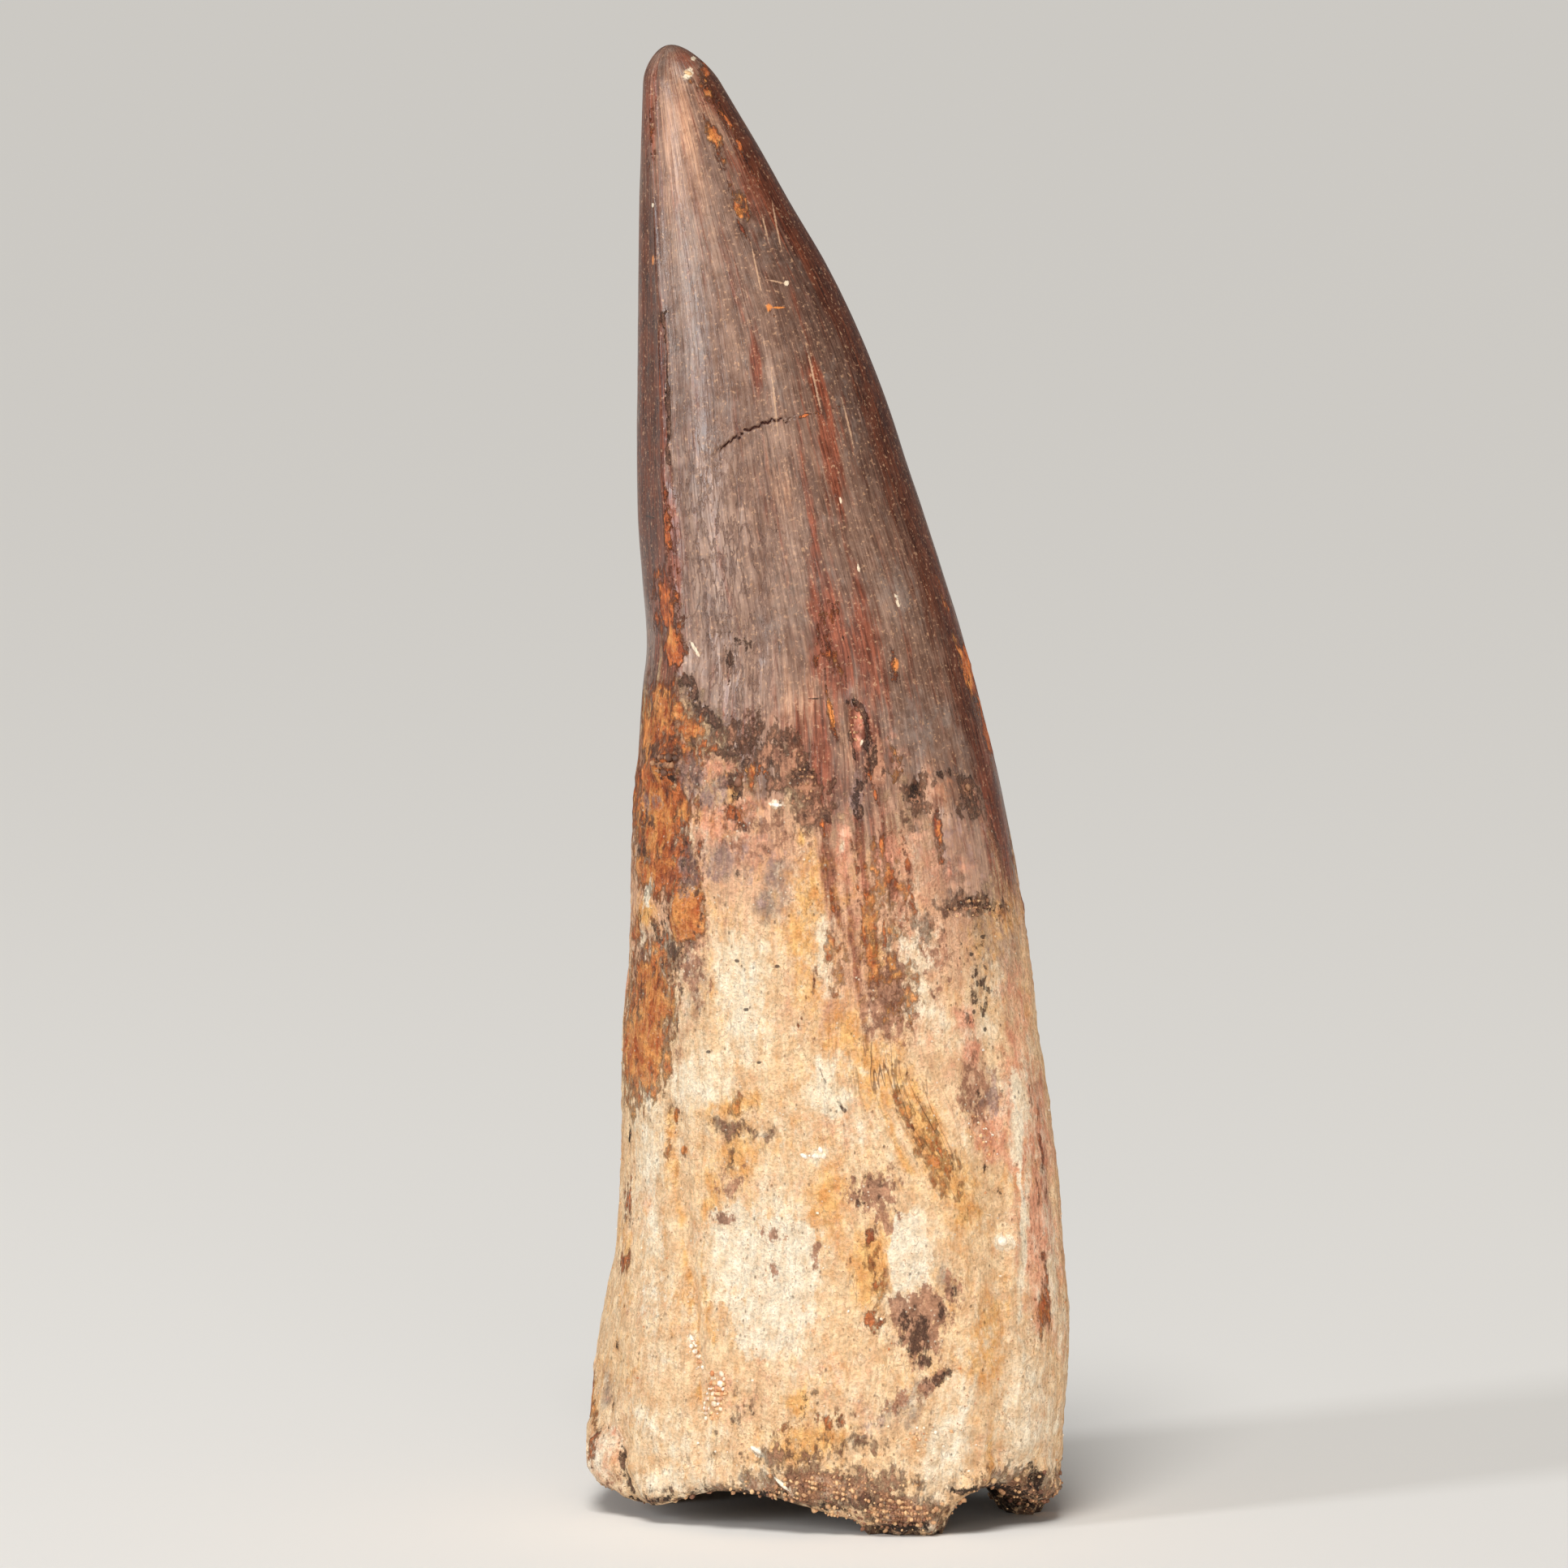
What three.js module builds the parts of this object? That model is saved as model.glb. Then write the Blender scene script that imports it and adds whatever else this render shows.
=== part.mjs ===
// A fossil spinosaurus tooth, standing on the broken end of its root.
//
// Enamel crown, dentine root and the mineral crust on them are one body. Units are
// millimetres and +Z is up. The origin lies on the resting plane, under the middle of
// the tooth. -Y is the show side and +X is the side of the long convex edge.
//
// The body is one closed skin. Each column of points runs down from the tip at its own
// bearing, crosses the broken rim and ends in the middle of the underside. A bearing is
// an angle in degrees round the tooth: 0 right, 90 back, 180 left, 270 show side.

import * as THREE from 'three';
import { ImprovedNoise } from 'three/addons/math/ImprovedNoise.js';

// ---- Driving dimensions ----

const TOOTH_HEIGHT = 125.6;
const TIP_CAP_HEIGHT = 3.2;
const CROWN_BASE_HEIGHT = 62;

// Both edges of the tooth, as seen from the show side: [height, x].
const LEFT_EDGE = [
  [0, -19.2], [3, -20.1], [5.5, -20.4], [10.5, -20.1], [16, -19.2], [21.5, -18.2], [29, -17.7],
  [41, -17.5], [47, -17.0], [58, -16.5], [70, -15.8], [74.5, -15.4], [80, -15.8], [86, -16.2],
  [102, -16.1], [118, -15.8], [125.6, -15.5],
];
const RIGHT_EDGE = [
  [0, 19.4], [5, 20.1], [15, 20.8], [24.5, 20.3], [30, 19.8], [41, 18.3], [52.5, 16.8], [63.3, 14.7],
  [74.5, 11.9], [85.3, 8.5], [96, 4.9], [104.3, 1.4], [112.6, -3.3], [118, -6.4], [125.6, -10.9],
];
// Thickness from front to back, as a share of the width.
const DEPTH_SHARE = [[0, 0.78], [30, 0.78], [60, 0.81], [95, 0.87], [125, 0.95]];
// Squareness of the section: 2 is an ellipse, and more is boxier.
const SQUARENESS = [[0, 2.35], [35, 2.3], [70, 2.08], [90, 2], [125, 2]];
// How far the section is skewed: its right side comes forward and its left side goes back,
// by this share of the distance from the middle.
const SKEW = [[0, 0.16], [45, 0.13], [85, 0.05], [125, 0.03]];
// The crown bends towards the back, away from the show side.
const TIP_SET_BACK = 2.6;

// Height of the broken rim over the resting plane: [bearing, height].
const RIM_HEIGHT = [
  [0, 1.2], [14, 1.6], [30, 3.3], [62, 4.2], [84, 3.2], [102, 3.8], [118, 1.6], [134, 0.9],
  [152, 2.4], [180, 3.0], [200, 2.3], [215, 1.5], [226, 1.7], [238, 3.0], [246, 3.4], [258, 3.0],
  [270, 1.9], [278, 1.3], [284, 0.5], [291, 0.2], [297, 0.5], [304, 3.0], [309, 3.7], [320, 3.6],
  [334, 2.2], [347, 1.7],
];
const RIM_REACH_UP = 30;
const RIM_ROUND = 1.1;
const RIM_TUCK = 0.8;

// The lumps that the tooth stands on: centre, half extents, and how far down they reach.
const FEET = [
  { name: 'front', x: 7.0, y: -13.6, across: 3.0, along: 2.8, drop: 5.5 },
  { name: 'left', x: -14.4, y: 5.2, across: 2.6, along: 6.2, drop: 5.5 },
  { name: 'right', x: 16.4, y: 1.4, across: 2.5, along: 5.6, drop: 5.5 },
];
const UNDERSIDE_CEILING = 4.6;
const UNDERSIDE_ROUGHNESS = 0.6;

// Long ridges and grooves down the tooth. The height is how far they stand out of the
// skin, or into it where it is negative, and they fade out at both ends.
const CARINA = { height: 0.42, halfWidth: 7, from: 64, to: 123, fade: 8 };
const MESIAL_CARINA_BEARING = 219;
const DISTAL_CARINA_BEARING = 39;
const SIDE_FLAT = { bearing: 200, height: -0.28, halfWidth: 12, from: 66, to: 118, fade: 10 };
const ROOT_GROOVES = [
  { at: [[0, 241], [10, 238], [27, 227], [40, 224]], height: -0.62, halfWidth: 3.6, from: 3, to: 37 },
  { at: [[0, 252], [30, 243], [40, 240]], height: -0.5, halfWidth: 15, from: 2, to: 36 },
  { at: [[0, 312], [30, 312], [45, 316]], height: -0.42, halfWidth: 6, from: 5, to: 46 },
  { at: [[0, 285], [20, 288], [45, 292]], height: -0.3, halfWidth: 6, from: 10, to: 50 },
  { at: [[0, 60], [45, 66]], height: -0.75, halfWidth: 12, from: 0, to: 46 },
  { at: [[0, 118], [45, 112]], height: -0.5, halfWidth: 9, from: 0, to: 42 },
  { at: [[0, 150], [40, 158]], height: -0.45, halfWidth: 8, from: 6, to: 40 },
];
const ROOT_GROOVE_FADE = 9;

const FLUTE_HEIGHT = 0.07;

// Lumps and hollows on the skin, each at a bearing and a height, with its half extents
// round the tooth (degrees) and along it.
const LUMPS = [
  { name: 'knob', bearing: 199, z: 5.2, round: 11, along: 3.4, height: 1.0 },
  { name: 'knob groove', bearing: 216, z: 6.6, round: 4.5, along: 4.2, height: -0.55 },
  { name: 'edge strip', bearing: 203, z: 12, round: 8, along: 4, height: -0.35 },
  { name: 'crust lump', bearing: 214, z: 65, round: 6, along: 1.9, height: 0.75 },
  { name: 'iron flake', bearing: 225, z: 53.5, round: 6, along: 2.6, height: 0.4 },
  { name: 'iron crust', bearing: 213, z: 58, round: 18, along: 13, height: 0.3 },
  { name: 'pitted oval', bearing: 286, z: 69.5, round: 4.6, along: 2.8, height: -0.45 },
  { name: 'wrinkled dent', bearing: 252, z: 75.5, round: 5, along: 3, height: -0.3 },
  { name: 'black pit', bearing: 304, z: 63.5, round: 3.4, along: 2, height: -0.45 },
  { name: 'square patch', bearing: 308, z: 62.5, round: 8, along: 2.6, height: 0.25 },
  { name: 'pale swelling', bearing: 292, z: 24, round: 11, along: 6, height: 0.45 },
  { name: 'middle swelling', bearing: 270, z: 12, round: 18, along: 8, height: 0.4 },
  { name: 'right bump', bearing: 318, z: 25, round: 3.5, along: 1.6, height: 0.4 },
  { name: 'right hollow', bearing: 323, z: 3.6, round: 8, along: 2.6, height: -1.5 },
  { name: 'back spall', bearing: 82, z: 51, round: 16, along: 6, height: -0.55 },
  { name: 'back crust', bearing: 120, z: 60, round: 17, along: 7, height: 0.4 },
  { name: 'back lump', bearing: 52, z: 34, round: 8, along: 3.5, height: 0.5 },
];

// Crust and weathering that roughen the skin.
const ROOT_UNEVENNESS = 0.28;
const CROWN_UNEVENNESS = 0.07;
const RIM_CRUST = 0.75;
const RIM_CRUST_TOP = 9;

// The mesh: rows from the tip to the rim, then over the underside.
const COLUMNS = 84;
const SHOW_BEARING = 270;
const COLUMN_PULL = 16;
const CAP_ROWS = 5;
const WALL_ROWS = 43;
const UNDERSIDE_RINGS = [0.955, 0.9, 0.82, 0.73, 0.62, 0.48, 0.3, 0.14];

// ---- Small helpers ----

const noise = new ImprovedNoise();

const toRadians = THREE.MathUtils.degToRad;

const smooth = THREE.MathUtils.smoothstep;

// A hill of height 1 that is down to about a third at one half width.
function bell(distance, halfWidth) {
  const share = distance / halfWidth;
  return Math.exp(-share * share);
}

// The signed turn from one bearing to another, between -180 and 180 degrees.
function turn(fromBearing, toBearing) {
  return THREE.MathUtils.euclideanModulo(toBearing - fromBearing + 180, 360) - 180;
}

// A smooth curve through [position, value] points, held level past both ends.
function through(points) {
  const slopes = points.map((point, i) => {
    const before = points[Math.max(i - 1, 0)];
    const after = points[Math.min(i + 1, points.length - 1)];
    return (after[1] - before[1]) / (after[0] - before[0]);
  });
  return (position) => {
    const last = points.length - 1;
    if (position <= points[0][0]) return points[0][1];
    if (position >= points[last][0]) return points[last][1];
    const next = points.findIndex((point) => point[0] >= position);
    const [startAt, start] = points[next - 1];
    const [endAt, end] = points[next];
    const span = endAt - startAt;
    const t = (position - startAt) / span;
    const straight = start + (end - start) * t;
    const startPull = slopes[next - 1] * span - (end - start);
    const endPull = slopes[next] * span - (end - start);
    return straight + t * (1 - t) * ((1 - t) * startPull - t * endPull);
  };
}

// The same for points round a full circle of bearings.
function roundTheTooth(points) {
  const before = points.slice(-2).map(([bearing, value]) => [bearing - 360, value]);
  const after = points.slice(0, 2).map(([bearing, value]) => [bearing + 360, value]);
  return through([...before, ...points, ...after]);
}

// Uneven ground between about -1 and 1, with hills about `size` millimetres apart.
function unevenness(point, size, layer) {
  const x = point.x / size;
  const y = point.y / size;
  const z = point.z / size + layer * 17.3;
  return noise.noise(x, y, z) + 0.5 * noise.noise(2.1 * x, 2.1 * y, 2.1 * z);
}

// ---- Section of the tooth ----

const leftEdge = through(LEFT_EDGE);
const rightEdge = through(RIGHT_EDGE);
const depthShare = through(DEPTH_SHARE);
const squareness = through(SQUARENESS);
const skew = through(SKEW);
const rimHeight = roundTheTooth(RIM_HEIGHT);

// The share of the full section that the rounded, worn tip has left at a height.
function tipCap(z) {
  const below = Math.min((TOOTH_HEIGHT - z) / TIP_CAP_HEIGHT, 1);
  return Math.sqrt(Math.max(1 - (1 - below) ** 2, 0));
}

function section(z) {
  const left = leftEdge(z);
  const right = rightEdge(z);
  const halfWidth = (right - left) / 2;
  return {
    centreX: (left + right) / 2,
    centreY: TIP_SET_BACK * (z / TOOTH_HEIGHT) ** 2,
    halfWidth: halfWidth * tipCap(z),
    halfDepth: halfWidth * tipCap(z) * depthShare(z),
    squareness: squareness(z),
    skew: skew(z),
  };
}

// A point of the plain section, pushed out along its normal by `outward`.
function onSection(bearing, z, outward) {
  const { centreX, centreY, halfWidth, halfDepth, squareness: power, skew: skewShare } = section(z);
  const cos = Math.cos(toRadians(bearing));
  const sin = Math.sin(toRadians(bearing));
  const reach = (Math.abs(cos) ** power + Math.abs(sin) ** power) ** (-1 / power);
  const normal = new THREE.Vector2(cos * halfDepth, sin * halfWidth).normalize();
  const fromMiddle = reach * halfWidth * cos + outward * normal.x;
  return new THREE.Vector3(
    centreX + fromMiddle,
    centreY + reach * halfDepth * sin + outward * normal.y - skewShare * fromMiddle,
    z,
  );
}

// ---- Relief of the skin ----

function fadedBand(z, { from, to, fade }) {
  return smooth(z, from - fade / 2, from + fade / 2) * (1 - smooth(z, to - fade / 2, to + fade / 2));
}

function carinae(bearing, z) {
  const band = fadedBand(z, CARINA);
  const mesial = bell(turn(MESIAL_CARINA_BEARING, bearing), CARINA.halfWidth);
  const distal = bell(turn(DISTAL_CARINA_BEARING, bearing), CARINA.halfWidth);
  return CARINA.height * band * (mesial + distal);
}

function sideFlat(bearing, z) {
  const across = bell(turn(SIDE_FLAT.bearing, bearing), SIDE_FLAT.halfWidth);
  return SIDE_FLAT.height * across * fadedBand(z, SIDE_FLAT);
}

// Low enamel ridges that fade into the root and the worn tip. A column lies on the crest
// of one, or in the trough beside it.
function flutes(onCrest, z) {
  const fadeIn = smooth(z, CROWN_BASE_HEIGHT - 8, CROWN_BASE_HEIGHT + 14);
  const fadeOut = 1 - smooth(z, TOOTH_HEIGHT - 22, TOOTH_HEIGHT - 6);
  return (onCrest ? FLUTE_HEIGHT : -FLUTE_HEIGHT) * fadeIn * fadeOut;
}

const rootGroovePaths = ROOT_GROOVES.map((groove) => through(groove.at));

function rootGrooves(bearing, z) {
  return ROOT_GROOVES.reduce((sum, groove, i) => {
    const across = bell(turn(rootGroovePaths[i](z), bearing), groove.halfWidth);
    const band = fadedBand(z, { from: groove.from, to: groove.to, fade: ROOT_GROOVE_FADE });
    return sum + groove.height * across * band;
  }, 0);
}

function lumps(bearing, z) {
  return LUMPS.reduce((sum, lump) => {
    const across = bell(turn(lump.bearing, bearing), lump.round);
    return sum + lump.height * across * bell(z - lump.z, lump.along);
  }, 0);
}

// Weathering is strong on the root, slight on the enamel and gone at the tip.
function weathering(bearing, z) {
  const point = onSection(bearing, z, 0);
  const rooted = 1 - smooth(z, CROWN_BASE_HEIGHT - 14, CROWN_BASE_HEIGHT + 8);
  const strength = CROWN_UNEVENNESS + (ROOT_UNEVENNESS - CROWN_UNEVENNESS) * rooted;
  const stretched = point.clone();
  stretched.z *= 0.4;
  return strength * unevenness(stretched, 4.5, 0) * tipCap(z);
}

function rimCrust(bearing, z, overRim) {
  const strength = RIM_CRUST * (1 - smooth(overRim, 0, RIM_CRUST_TOP));
  return strength * unevenness(onSection(bearing, z, 0), 3.1, 1);
}

function relief({ bearing, onCrest }, z, overRim) {
  const inFromRim = Math.max(1 - overRim / RIM_ROUND, 0);
  return carinae(bearing, z) + sideFlat(bearing, z) + flutes(onCrest, z)
    + rootGrooves(bearing, z) + lumps(bearing, z)
    + weathering(bearing, z) + rimCrust(bearing, z, overRim)
    - RIM_TUCK * inFromRim * inFromRim;
}

// ---- Outer wall ----

// Heights of the wall's rows if the rim were level: close on the cap, then wider apart,
// and closer again towards the rim.
function levelHeights() {
  const heights = [];
  for (let row = 1; row <= CAP_ROWS; row += 1) {
    const angle = (Math.PI / 2) * (row / CAP_ROWS);
    heights.push(TOOTH_HEIGHT - TIP_CAP_HEIGHT * (1 - Math.cos(angle)));
  }
  const wall = TOOTH_HEIGHT - TIP_CAP_HEIGHT;
  for (let row = 1; row <= WALL_ROWS; row += 1) {
    const t = row / WALL_ROWS;
    heights.push(wall * (1 - 1.3 * t + 0.3 * t * t));
  }
  return heights;
}

function wallPoint(column, levelHeight) {
  const rim = rimHeight(column.bearing);
  const lift = Math.max(1 - levelHeight / RIM_REACH_UP, 0) ** 2;
  const z = levelHeight + rim * lift;
  return onSection(column.bearing, z, relief(column, z, z - rim));
}

// ---- Underside ----

// The broken face: it rises from the rim into a shallow recess of hard sand, and comes
// down to the resting plane at each foot.
function undersideHeight(x, y, bearing, share) {
  const inside = 1 - share ** 4;
  const rough = UNDERSIDE_ROUGHNESS * unevenness(new THREE.Vector3(x, y, 0), 3.4, 2);
  const nearFeet = FEET.reduce((sum, foot) => {
    return sum + foot.drop * bell(x - foot.x, foot.across) * bell(y - foot.y, foot.along);
  }, 0);
  const ground = THREE.MathUtils.lerp(rimHeight(bearing), UNDERSIDE_CEILING + rough, inside);
  return Math.max(ground - nearFeet, 0);
}

function undersidePoint(column, share) {
  const rim = wallPoint(column, 0);
  const middle = section(0);
  const x = middle.centreX + (rim.x - middle.centreX) * share;
  const y = middle.centreY + (rim.y - middle.centreY) * share;
  return new THREE.Vector3(x, y, undersideHeight(x, y, column.bearing, share));
}

// ---- The closed skin ----

// The columns stand closer together on the show side, which has the most relief.
function skinColumns() {
  return Array.from({ length: COLUMNS }, (_, index) => {
    const even = (360 * index) / COLUMNS;
    const pull = COLUMN_PULL * Math.sin(toRadians(even - SHOW_BEARING));
    return { bearing: even - pull, onCrest: index % 2 === 0 };
  });
}

function skinRings(columns) {
  const wall = levelHeights().map((height) => columns.map((column) => wallPoint(column, height)));
  const underside = UNDERSIDE_RINGS.map((share) => {
    return columns.map((column) => undersidePoint(column, share));
  });
  return [...wall, ...underside];
}

// Joins rings of points into a closed surface with one point at each end.
function closedSkin(top, rings, bottom) {
  const columns = rings[0].length;
  const points = [top, ...rings.flat(), bottom];
  const ringStart = (ring) => 1 + ring * columns;
  const faces = [];
  for (let column = 0; column < columns; column += 1) {
    const next = (column + 1) % columns;
    faces.push(0, ringStart(0) + column, ringStart(0) + next);
    for (let ring = 0; ring < rings.length - 1; ring += 1) {
      const upper = ringStart(ring);
      const lower = ringStart(ring + 1);
      faces.push(upper + column, lower + column, lower + next);
      faces.push(upper + column, lower + next, upper + next);
    }
    const lastRing = ringStart(rings.length - 1);
    faces.push(lastRing + column, points.length - 1, lastRing + next);
  }
  const geometry = new THREE.BufferGeometry().setFromPoints(points);
  geometry.setIndex(faces);
  geometry.computeVertexNormals();
  return geometry;
}

function toothGeometry() {
  const columns = skinColumns();
  const tipSection = section(TOOTH_HEIGHT);
  const tip = new THREE.Vector3(tipSection.centreX, tipSection.centreY, TOOTH_HEIGHT);
  const middle = undersidePoint(columns[0], 0);
  return closedSkin(tip, skinRings(columns), middle);
}

function fossilMaterial() {
  return new THREE.MeshStandardMaterial({ color: 0xb08a68, roughness: 0.6, metalness: 0 });
}

const tooth = new THREE.Mesh(toothGeometry(), fossilMaterial());
tooth.name = 'tooth';

const part = new THREE.Group();
part.add(tooth);

export default part;
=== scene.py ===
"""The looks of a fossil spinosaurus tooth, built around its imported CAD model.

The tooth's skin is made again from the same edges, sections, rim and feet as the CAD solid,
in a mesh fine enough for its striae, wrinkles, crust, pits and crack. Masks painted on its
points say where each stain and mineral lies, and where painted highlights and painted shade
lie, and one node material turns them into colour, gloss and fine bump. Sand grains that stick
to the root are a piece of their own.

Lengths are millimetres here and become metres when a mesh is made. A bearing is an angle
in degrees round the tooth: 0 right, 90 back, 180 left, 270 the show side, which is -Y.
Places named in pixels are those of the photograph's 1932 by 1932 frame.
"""

import itertools
import math
from types import SimpleNamespace

import bmesh
import bpy
import numpy as np
from mathutils import Euler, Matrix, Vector


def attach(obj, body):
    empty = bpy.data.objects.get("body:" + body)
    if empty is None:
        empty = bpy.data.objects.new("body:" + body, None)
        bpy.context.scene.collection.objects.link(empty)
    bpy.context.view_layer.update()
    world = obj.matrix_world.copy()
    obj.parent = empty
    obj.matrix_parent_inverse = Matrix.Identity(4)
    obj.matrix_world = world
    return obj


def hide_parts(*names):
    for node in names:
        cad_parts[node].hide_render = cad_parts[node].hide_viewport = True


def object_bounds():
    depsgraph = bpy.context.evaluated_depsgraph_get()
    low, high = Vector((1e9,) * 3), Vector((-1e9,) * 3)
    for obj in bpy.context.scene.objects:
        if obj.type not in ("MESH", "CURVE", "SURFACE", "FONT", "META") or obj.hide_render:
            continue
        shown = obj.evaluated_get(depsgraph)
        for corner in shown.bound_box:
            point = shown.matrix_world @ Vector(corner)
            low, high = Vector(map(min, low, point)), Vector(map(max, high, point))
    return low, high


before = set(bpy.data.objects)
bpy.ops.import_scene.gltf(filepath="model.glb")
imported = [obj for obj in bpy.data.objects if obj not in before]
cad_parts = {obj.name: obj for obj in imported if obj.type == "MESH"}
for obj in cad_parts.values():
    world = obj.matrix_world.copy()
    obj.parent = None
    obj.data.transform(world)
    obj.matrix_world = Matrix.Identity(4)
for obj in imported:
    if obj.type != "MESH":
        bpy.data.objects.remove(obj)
CAD_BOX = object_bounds()

MM = 0.001

# ---- Sizes shared with the CAD model ----

TOOTH_HEIGHT = CAD_BOX[1].z / MM
TIP_CAP_HEIGHT = 3.2

LEFT_EDGE = [
    (0, -19.2), (3, -20.1), (5.5, -20.4), (10.5, -20.1), (16, -19.2), (21.5, -18.2), (29, -17.7),
    (41, -17.5), (47, -17.0), (58, -16.5), (70, -15.8), (74.5, -15.4), (80, -15.8), (86, -16.2),
    (102, -16.1), (118, -15.8), (125.6, -15.5),
]
RIGHT_EDGE = [
    (0, 19.4), (5, 20.1), (15, 20.8), (24.5, 20.3), (30, 19.8), (41, 18.3), (52.5, 16.8), (63.3, 14.7),
    (74.5, 11.9), (85.3, 8.5), (96, 4.9), (104.3, 1.4), (112.6, -3.3), (118, -6.4), (125.6, -10.9),
]
DEPTH_SHARE = [(0, 0.78), (30, 0.78), (60, 0.81), (95, 0.87), (125, 0.95)]
SQUARENESS = [(0, 2.35), (35, 2.3), (70, 2.08), (90, 2), (125, 2)]
SKEW = [(0, 0.16), (45, 0.13), (85, 0.05), (125, 0.03)]
TIP_SET_BACK = 2.6

RIM_HEIGHT = [
    (0, 1.2), (14, 1.6), (30, 3.3), (62, 4.2), (84, 3.2), (102, 3.8), (118, 1.6), (134, 0.9),
    (152, 2.4), (180, 3.0), (200, 2.3), (215, 1.5), (226, 1.7), (238, 3.0), (246, 3.4), (258, 3.0),
    (270, 1.9), (278, 1.3), (284, 0.5), (291, 0.2), (297, 0.5), (304, 3.0), (309, 3.7), (320, 3.6),
    (334, 2.2), (347, 1.7),
]
RIM_REACH_UP = 30
RIM_ROUND = 1.1
RIM_TUCK = 0.8

FEET = {
    "front": {"x": 7.0, "y": -13.6, "across": 3.0, "along": 2.8, "drop": 5.5},
    "left": {"x": -14.4, "y": 5.2, "across": 2.6, "along": 6.2, "drop": 5.5},
    "right": {"x": 16.4, "y": 1.4, "across": 2.5, "along": 5.6, "drop": 5.5},
}
UNDERSIDE_CEILING = 4.6
RIM_CRUST = 0.75
RIM_CRUST_TOP = 9

CARINA = {"height": 0.42, "half_width": 5, "from": 64, "to": 123, "fade": 8}
MESIAL_CARINA_BEARING = 219
DISTAL_CARINA_BEARING = 39
SIDE_FLAT = {"bearing": 200, "height": -0.28, "half_width": 12, "from": 66, "to": 118, "fade": 10}
ROOT_GROOVES = {
    "long groove": ([(0, 241), (10, 238), (27, 227), (40, 224)], -0.62, 2.4, 3, 37),
    "front hollow": ([(0, 252), (30, 243), (40, 240)], -0.5, 15, 2, 36),
    "right groove": ([(0, 312), (30, 312), (45, 316)], -0.42, 6, 5, 46),
    "middle groove": ([(0, 285), (20, 288), (45, 292)], -0.3, 6, 10, 50),
    "back right groove": ([(0, 60), (45, 66)], -0.75, 12, 0, 46),
    "back groove": ([(0, 118), (45, 112)], -0.5, 9, 0, 42),
    "back left groove": ([(0, 150), (40, 158)], -0.45, 8, 6, 40),
}
ROOT_GROOVE_FADE = 9

# Lumps and hollows of the CAD model: bearing, height, half extents round the tooth and
# along it, and how far they stand out.
LUMPS = {
    "knob": (199, 5.2, 11, 3.4, 1.0),
    "knob groove": (216, 6.6, 4.5, 4.2, -0.55),
    "edge strip": (203, 12, 8, 4, -0.35),
    "crust lump": (214, 65, 6, 1.9, 0.75),
    "iron flake": (225, 53.5, 6, 2.6, 0.4),
    "iron crust": (213, 58, 18, 13, 0.3),
    "pitted oval": (286, 69.5, 4.6, 2.8, -0.45),
    "wrinkled dent": (252, 75.5, 5, 3, -0.3),
    "black pit": (304, 63.5, 3.4, 2, -0.45),
    "square patch": (308, 62.5, 8, 2.6, 0.25),
    "pale swelling": (292, 24, 11, 6, 0.45),
    "middle swelling": (270, 12, 18, 8, 0.4),
    "right bump": (318, 25, 3.5, 1.6, 0.4),
    "right hollow": (323, 3.6, 8, 2.6, -1.5),
    "back spall": (82, 51, 16, 6, -0.55),
    "back crust": (120, 60, 17, 7, 0.4),
    "back lump": (52, 34, 8, 3.5, 0.5),
}

# ---- The photograph's view ----

PHOTO_SIDE = 1932
PIXELS_PER_MM = 14.4
CAMERA_DISTANCE = 800
CAMERA_ELEVATION = 5
CAMERA_AIM = np.array([-3.6, 0.0, 62.55])
SENSOR_WIDTH = 36

# ---- The fine mesh ----

COLUMNS = 352
COLUMN_PULL = 16
SHOW_BEARING = 270
CAP_ROWS = 12
ROW_SPACING = [
    (0, 0.5), (10, 0.5), (70, 0.62), (88, 0.7), (91.2, 0.14), (94.4, 0.14), (97, 0.76), (122, 0.76),
]
UNDERSIDE_RINGS = 20
LAST_ROW_HEIGHT = 0.3

# ---- Where the enamel ends, and the main crack ----

# The lower edge of the enamel round the tooth, and how far its tongues run up and down.
ENAMEL_LINE = [
    (0, 56), (30, 59), (60, 61), (95, 57), (125, 60), (160, 64), (190, 68), (215, 71), (240, 66),
    (255, 63), (270, 61), (285, 59), (300, 57), (320, 55), (340, 55),
]
ENAMEL_TONGUES = 7

# The main crack, at bearings and heights. Rows of the mesh follow it.
CRACK = [
    (243.5, 91.1), (248.5, 91.6), (255.8, 92.6), (261.2, 93.1), (268.2, 93.7), (273.5, 94.0),
    (278.8, 94.1), (286.8, 94.3),
]
CRACK_LEVEL = 92.9
CRACK_NEUTRAL = [(60, CRACK_LEVEL), (180, CRACK_LEVEL), (330, CRACK_LEVEL)]
CRACK_BEND_REACH = 5
CRACK_DEPTH = 0.3
CRACK_HALF_WIDTH = 0.1
# How far the crack wavers in mm, and the degrees between its waves.
CRACK_RAG = 0.5
CRACK_RAG_SPAN = 3.2

# The brown stain below the enamel, round the tooth: the height that it reaches down to.
STAIN_LINE = [
    (0, 47), (40, 50), (80, 44), (120, 46), (160, 49), (190, 44), (205, 42), (225, 47), (245, 51),
    (262, 50), (275, 46), (286, 40), (300, 43), (315, 48), (335, 50),
]

# ---- Layers of colour ----

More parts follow.
